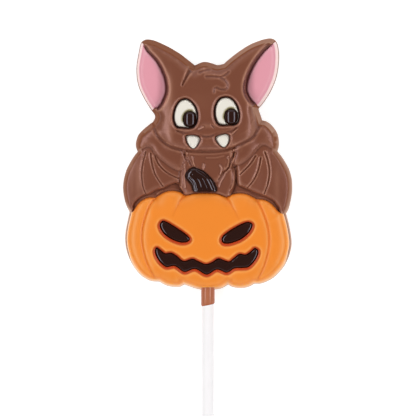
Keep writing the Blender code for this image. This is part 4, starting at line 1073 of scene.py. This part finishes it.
def build_milk_chocolate(surface, wall):
    """The brown body with its relief, the seats of the coloured layers and the holes of the inlays."""
    layers = [PUMPKIN, LEFT_PINK, RIGHT_PINK]
    regions = [(layer.region, layer.seat) for layer in layers]
    regions += [(line, flat(SOCKET_FLOOR)) for line in SOCKETS]
    regions += [(line, flat(FANG_FLOOR)) for line in FANG_HOLES]
    regions.append((STEM_HOLE, flat(STEM_FLOOR)))
    lines = [layer.step for layer in layers] + [layer.inset for layer in layers]
    loops = SOCKETS + FANG_HOLES + [STEM_HOLE]
    forms = [offset(mark.line, side) for mark in MARKS for side in CREASE_SIDES]
    forms += [ended(offset(line, side, True)) for line in PLATE_LINES for side in (-STEP_SIDE, STEP_SIDE)]
    forms += [ended(offset(line, side, True)) for line in SOCKETS + FANG_HOLES for side in RING_SIDES]
    seats = [layer.region for layer in layers] + loops
    for form in forms:
        lines += clipped(form, FRONT, 0.65, seats)
    for away in RIM_RINGS:
        lines += clipped(ended(offset(FRONT, away, True)), FRONT, 0.8 * away, seats)
    top = Surface(FRONT, brown_height, regions, lines, loops, PITCH)
    bottom = Surface(FRONT, flat(0.0))
    mesh = Solid(FRONT, LEAN, top, bottom).mesh
    name = "milk_chocolate"
    add_piece(name + "_fine", mesh, surface, [name], brown_shade, wall, steep=0.9)


def build_layer(name, layer, height, surface, wall, holes=(), shade=rim_shade):
    """A coloured layer that fills its seat, with holes for its own inlays."""
    ring, lean = layer.outline()
    regions = [(hole, flat(HOLE_FLOOR)) for hole in holes]
    lines = [run for line in GROOVE_LINES for run in clipped(line, ring, 0.4)] if holes else []
    top = Surface(ring, height, regions, lines, holes, PITCH)
    bottom = Surface(ring, lambda points: layer.seat(points) + GAP, lines=[layer.inset])
    add_piece(name + "_fine", Solid(ring, lean, top, bottom).mesh, surface, [name], shade, wall)


# Materials
def material(name, colour, dark, pale, roughness, specular=0.5, mirrored=(1.0, 1.0, 1.0), grain_height=0.06):
    """Chocolate: its colour with painted shade in creases and painted highlights on ridges, slightly uneven,
    with a fine grain.
    """
    made = bpy.data.materials.new(name)
    made.use_nodes = True
    nodes, links = made.node_tree.nodes, made.node_tree.links

    def fill(node, inputs):
        """Sets a node's inputs to values, or links them to other nodes' outputs."""
        for key, value in inputs.items():
            if isinstance(value, bpy.types.NodeSocket):
                links.new(value, node.inputs[key])
            else:
                node.inputs[key].default_value = value

    def add(kind, inputs, output, **settings):
        """The output of a new node with these settings and inputs."""
        node = nodes.new("ShaderNode" + kind)
        for key, value in settings.items():
            setattr(node, key, value)
        fill(node, inputs)
        return node.outputs[output]

    place = add("TexCoord", {}, "Object")
    patches = add("TexNoise", {"Scale": 90.0, "Detail": 4.0, "Vector": place}, "Fac")
    grain = add("TexNoise", {"Scale": 1400.0, "Detail": 3.0, "Vector": place}, "Fac")
    relief = add("Attribute", {}, "Fac", attribute_name="relief")
    shade = add("Attribute", {}, "Fac", attribute_name="shade")
    # Painted shade in hollows and painted highlights on ridges of the relief, on top of those in the shade
    # attribute
    hollow = add("MapRange", {"Value": relief, "From Min": 0.0, "From Max": -0.35}, "Result")
    ridge = add("MapRange", {"Value": relief, "From Min": 0.02, "From Max": 0.25, "To Max": 0.6}, "Result")
    tint = add("MapRange", {"Value": patches, "To Min": 0.97, "To Max": 1.03}, "Result")
    base = add("VectorMath", {0: colour, "Scale": tint}, "Vector", operation="SCALE")
    painted_shade = add("Math", {0: hollow, 1: 0.25, 2: shade}, "Value", operation="MULTIPLY_ADD", use_clamp=True)
    painted_highlight = add("Math", {0: shade, 1: -1.0, 2: ridge}, "Value", operation="MULTIPLY_ADD", use_clamp=True)
    shaded = add("Mix", {"Factor": painted_shade, "A": base, "B": (*dark, 1.0)}, "Result", data_type="RGBA")
    lit = add("Mix", {"Factor": painted_highlight, "A": shaded, "B": (*pale, 1.0)}, "Result", data_type="RGBA")
    bump = add("Bump", {"Strength": grain_height, "Distance": 0.0002, "Height": grain}, "Normal")
    looks = {"Base Color": lit, "Roughness": roughness, "Specular IOR Level": specular, "Normal": bump}
    fill(nodes["Principled BSDF"], looks | {"Specular Tint": (*mirrored, 1.0)})
    return made


# Tints of the highlights, then the looks: colour, colour in painted shade, colour in painted highlights,
# roughness, level of the highlights
MAUVE, PEACH, LILAC = (1.0, 0.64, 0.62), (0.5, 1.0, 0.75), (0.85, 0.85, 1.0)
brown = material(
    "milk_chocolate_look", (0.175, 0.057, 0.03), (0.03, 0.008, 0.004), (0.4, 0.19, 0.12), 0.33, 0.62, MAUVE
)
# A paler, rougher look without highlights for the brown side wall: painted light
brown_wall_lit = material(
    "milk_chocolate_wall_lit", (0.215, 0.076, 0.04), (0.2, 0.07, 0.04), (0.82, 0.57, 0.44), 0.7, 0.0
)
orange = material(
    "orange_chocolate_look", (0.83, 0.236, 0.026), (0.5, 0.045, 0.006), (0.92, 0.42, 0.12), 0.34, 0.35, PEACH
)
# A paler, rougher look without highlights for the orange side wall: painted light
orange_wall_lit = material(
    "orange_chocolate_wall_lit", (0.88, 0.33, 0.06), (0.46, 0.045, 0.006), (0.95, 0.7, 0.52), 0.7, 0.0
)
pink = material(
    "pink_chocolate_look", (0.72, 0.31, 0.37), (0.4, 0.1, 0.13), (0.86, 0.6, 0.62), 0.4, 0.35, LILAC
)
# A paler, rougher look without highlights for the pink side wall: painted light
pink_wall_lit = material(
    "pink_chocolate_wall_lit", (0.86, 0.64, 0.62), (0.4, 0.1, 0.13), (0.92, 0.82, 0.78), 0.7, 0.0
)
white = material("white_chocolate_look", (0.76, 0.72, 0.64), (0.32, 0.27, 0.13), (0.8, 0.77, 0.7), 0.4, 0.35)
dark = material(
    "dark_chocolate_look", (0.022, 0.006, 0.003), (0.006, 0.002, 0.001), (0.03, 0.01, 0.006), 0.08, 0.42,
    LILAC, grain_height=0.01,
)
collar = material("collar_look", (0.38, 0.1, 0.035), (0.2, 0.05, 0.02), (0.6, 0.3, 0.2), 0.2, 0.35)
paper = material("stick_look", (0.88, 0.86, 0.87), (0.7, 0.68, 0.68), (0.88, 0.87, 0.87), 0.55)

# The pieces
build_milk_chocolate(brown, brown_wall_lit)
build_layer("pumpkin", PUMPKIN, pumpkin_height, orange, orange_wall_lit, HOLES, pumpkin_shade)
build_layer("ear_inner_left", LEFT_PINK, ear_height(LEFT_PINK), pink, pink_wall_lit)
build_layer("ear_inner_right", RIGHT_PINK, ear_height(RIGHT_PINK), pink, pink_wall_lit)
for side, socket, centre in (("left", SOCKETS[0], LEFT_PUPIL), ("right", SOCKETS[1], RIGHT_PUPIL)):
    line = crescent(offset(socket, SOCKET_RING, True), oval(centre, PUPIL_MARGIN))
    height = domed(line, EYE_EDGE, EYE_TOP, 0.8)
    inlay(f"eye_white_{side}", line, height, SOCKET_FLOOR, white, eye_shade(centre))
    inlay(f"pupil_{side}", oval(centre), pupil_height(centre), SOCKET_FLOOR, dark)
for side, hole in zip(("left", "right"), FANG_HOLES):
    line = offset(hole, FANG_RING, True)
    inlay(f"fang_{side}", line, domed(line, FANG_EDGE, FANG_TOP, 1.3), FANG_FLOOR, white)
line = offset(STEM_HOLE, STEM_RING, True)
grooves = []
for ridge in RIDGES:
    for away in GROOVE_SIDES:
        grooves += clipped(offset(ridge, away), line, 0.3)
inlay("pumpkin_stem", line, stem_height, STEM_FLOOR, dark, lines=grooves)
for name, hole in zip(("pumpkin_eye_left", "pumpkin_eye_right", "pumpkin_mouth"), HOLES):
    line = offset(hole, FILL_RING, True)
    inlay(name, line, domed(line, FILL_EDGE, FILL_TOP, 1.4), HOLE_FLOOR, dark)

stick_end = STICK_TOP - STICK_LENGTH
stick_profile = [(STICK_TOP, STICK_RADIUS), (stick_end + STICK_BEVEL, STICK_RADIUS)]
stick_profile.append((stick_end, STICK_RADIUS - STICK_BEVEL))
turned("stick_fine", stick_profile, paper, ["stick"])
film_profile = [(NECK_TOP, NECK_RADIUS), (NECK_END + FILM_BEVEL, NECK_RADIUS)]
film_profile.append((NECK_END, STICK_RADIUS + FILM_EDGE))
turned("collar_film", film_profile, collar, [], slant=FILM_SLANT)

# Floor, light and camera
floor_mesh = bmesh.new()
bmesh.ops.create_grid(floor_mesh, x_segments=1, y_segments=1, size=3.0)
floor_data = bpy.data.meshes.new("floor")
floor_mesh.to_mesh(floor_data)
floor_mesh.free()
floor = linked("floor", floor_data)
floor.location.z = -0.0001
floor_look = bpy.data.materials.new("floor_look")
floor_look.use_nodes = True
floor_shader = floor_look.node_tree.nodes["Principled BSDF"]
floor_shader.inputs["Base Color"].default_value = (0.5, 0.5, 0.5, 1.0)
floor_shader.inputs["Roughness"].default_value = 0.9
floor_shader.inputs["Emission Color"].default_value = (1.0, 1.0, 1.0, 1.0)
floor_shader.inputs["Emission Strength"].default_value = 0.68
floor_data.materials.append(floor_look)

world = bpy.data.worlds.new("studio")
world.use_nodes = True
world.node_tree.nodes["Background"].inputs["Color"].default_value = (1.0, 1.0, 1.0, 1.0)
world.node_tree.nodes["Background"].inputs["Strength"].default_value = 0.15
bpy.context.scene.world = world

TARGET = Vector((-0.0001, -0.016, 0.004))
CAMERA_DISTANCE, VIEW_WIDTH, SENSOR_WIDTH = 2.0, 0.1485, 36.0
CAMERA_TILT = math.radians(1.7)


def aimed(name, data, back, distance):
    """An object at a distance from the target, which looks back at it with +Y up."""
    item = linked(name, data)
    right = Vector((0.0, 1.0, 0.0)).cross(back).normalized()
    turn = Matrix((right, back.cross(right), back)).transposed()
    item.matrix_world = Matrix.Translation(TARGET + back * distance) @ turn.to_4x4()
    return item


def softbox(name, angle, lift, distance, size, power):
    """An area light, turned by degrees from straight above towards +X and by lift towards +Y."""
    data = bpy.data.lights.new(name, "AREA")
    data.shape = "RECTANGLE"
    data.size, data.size_y = size
    data.energy = power
    angle, lift = math.radians(angle), math.radians(lift)
    back = Vector((math.sin(angle) * math.cos(lift), math.sin(lift), math.cos(angle) * math.cos(lift)))
    aimed(name, data, back, distance)


softbox("softbox_left", -43, 0, 0.9, (0.26, 1.2), 6.0)
softbox("softbox_right", 48, 0, 0.9, (0.24, 1.2), 5.5)
softbox("softbox_top", 0, 66, 1.2, (1.8, 0.8), 4.5)
softbox("softbox_bottom", 0, -68, 1.2, (1.8, 0.8), 4.0)

lens = bpy.data.cameras.new("camera")
lens.sensor_width = SENSOR_WIDTH
lens.lens = SENSOR_WIDTH * CAMERA_DISTANCE / VIEW_WIDTH
lens.clip_start, lens.clip_end = 0.01, 10.0
camera = aimed("camera", lens, Vector((CAMERA_TILT, CAMERA_TILT, 1.0)).normalized(), CAMERA_DISTANCE)
bpy.context.scene.camera = camera
bpy.context.scene.view_settings.view_transform = "Standard"
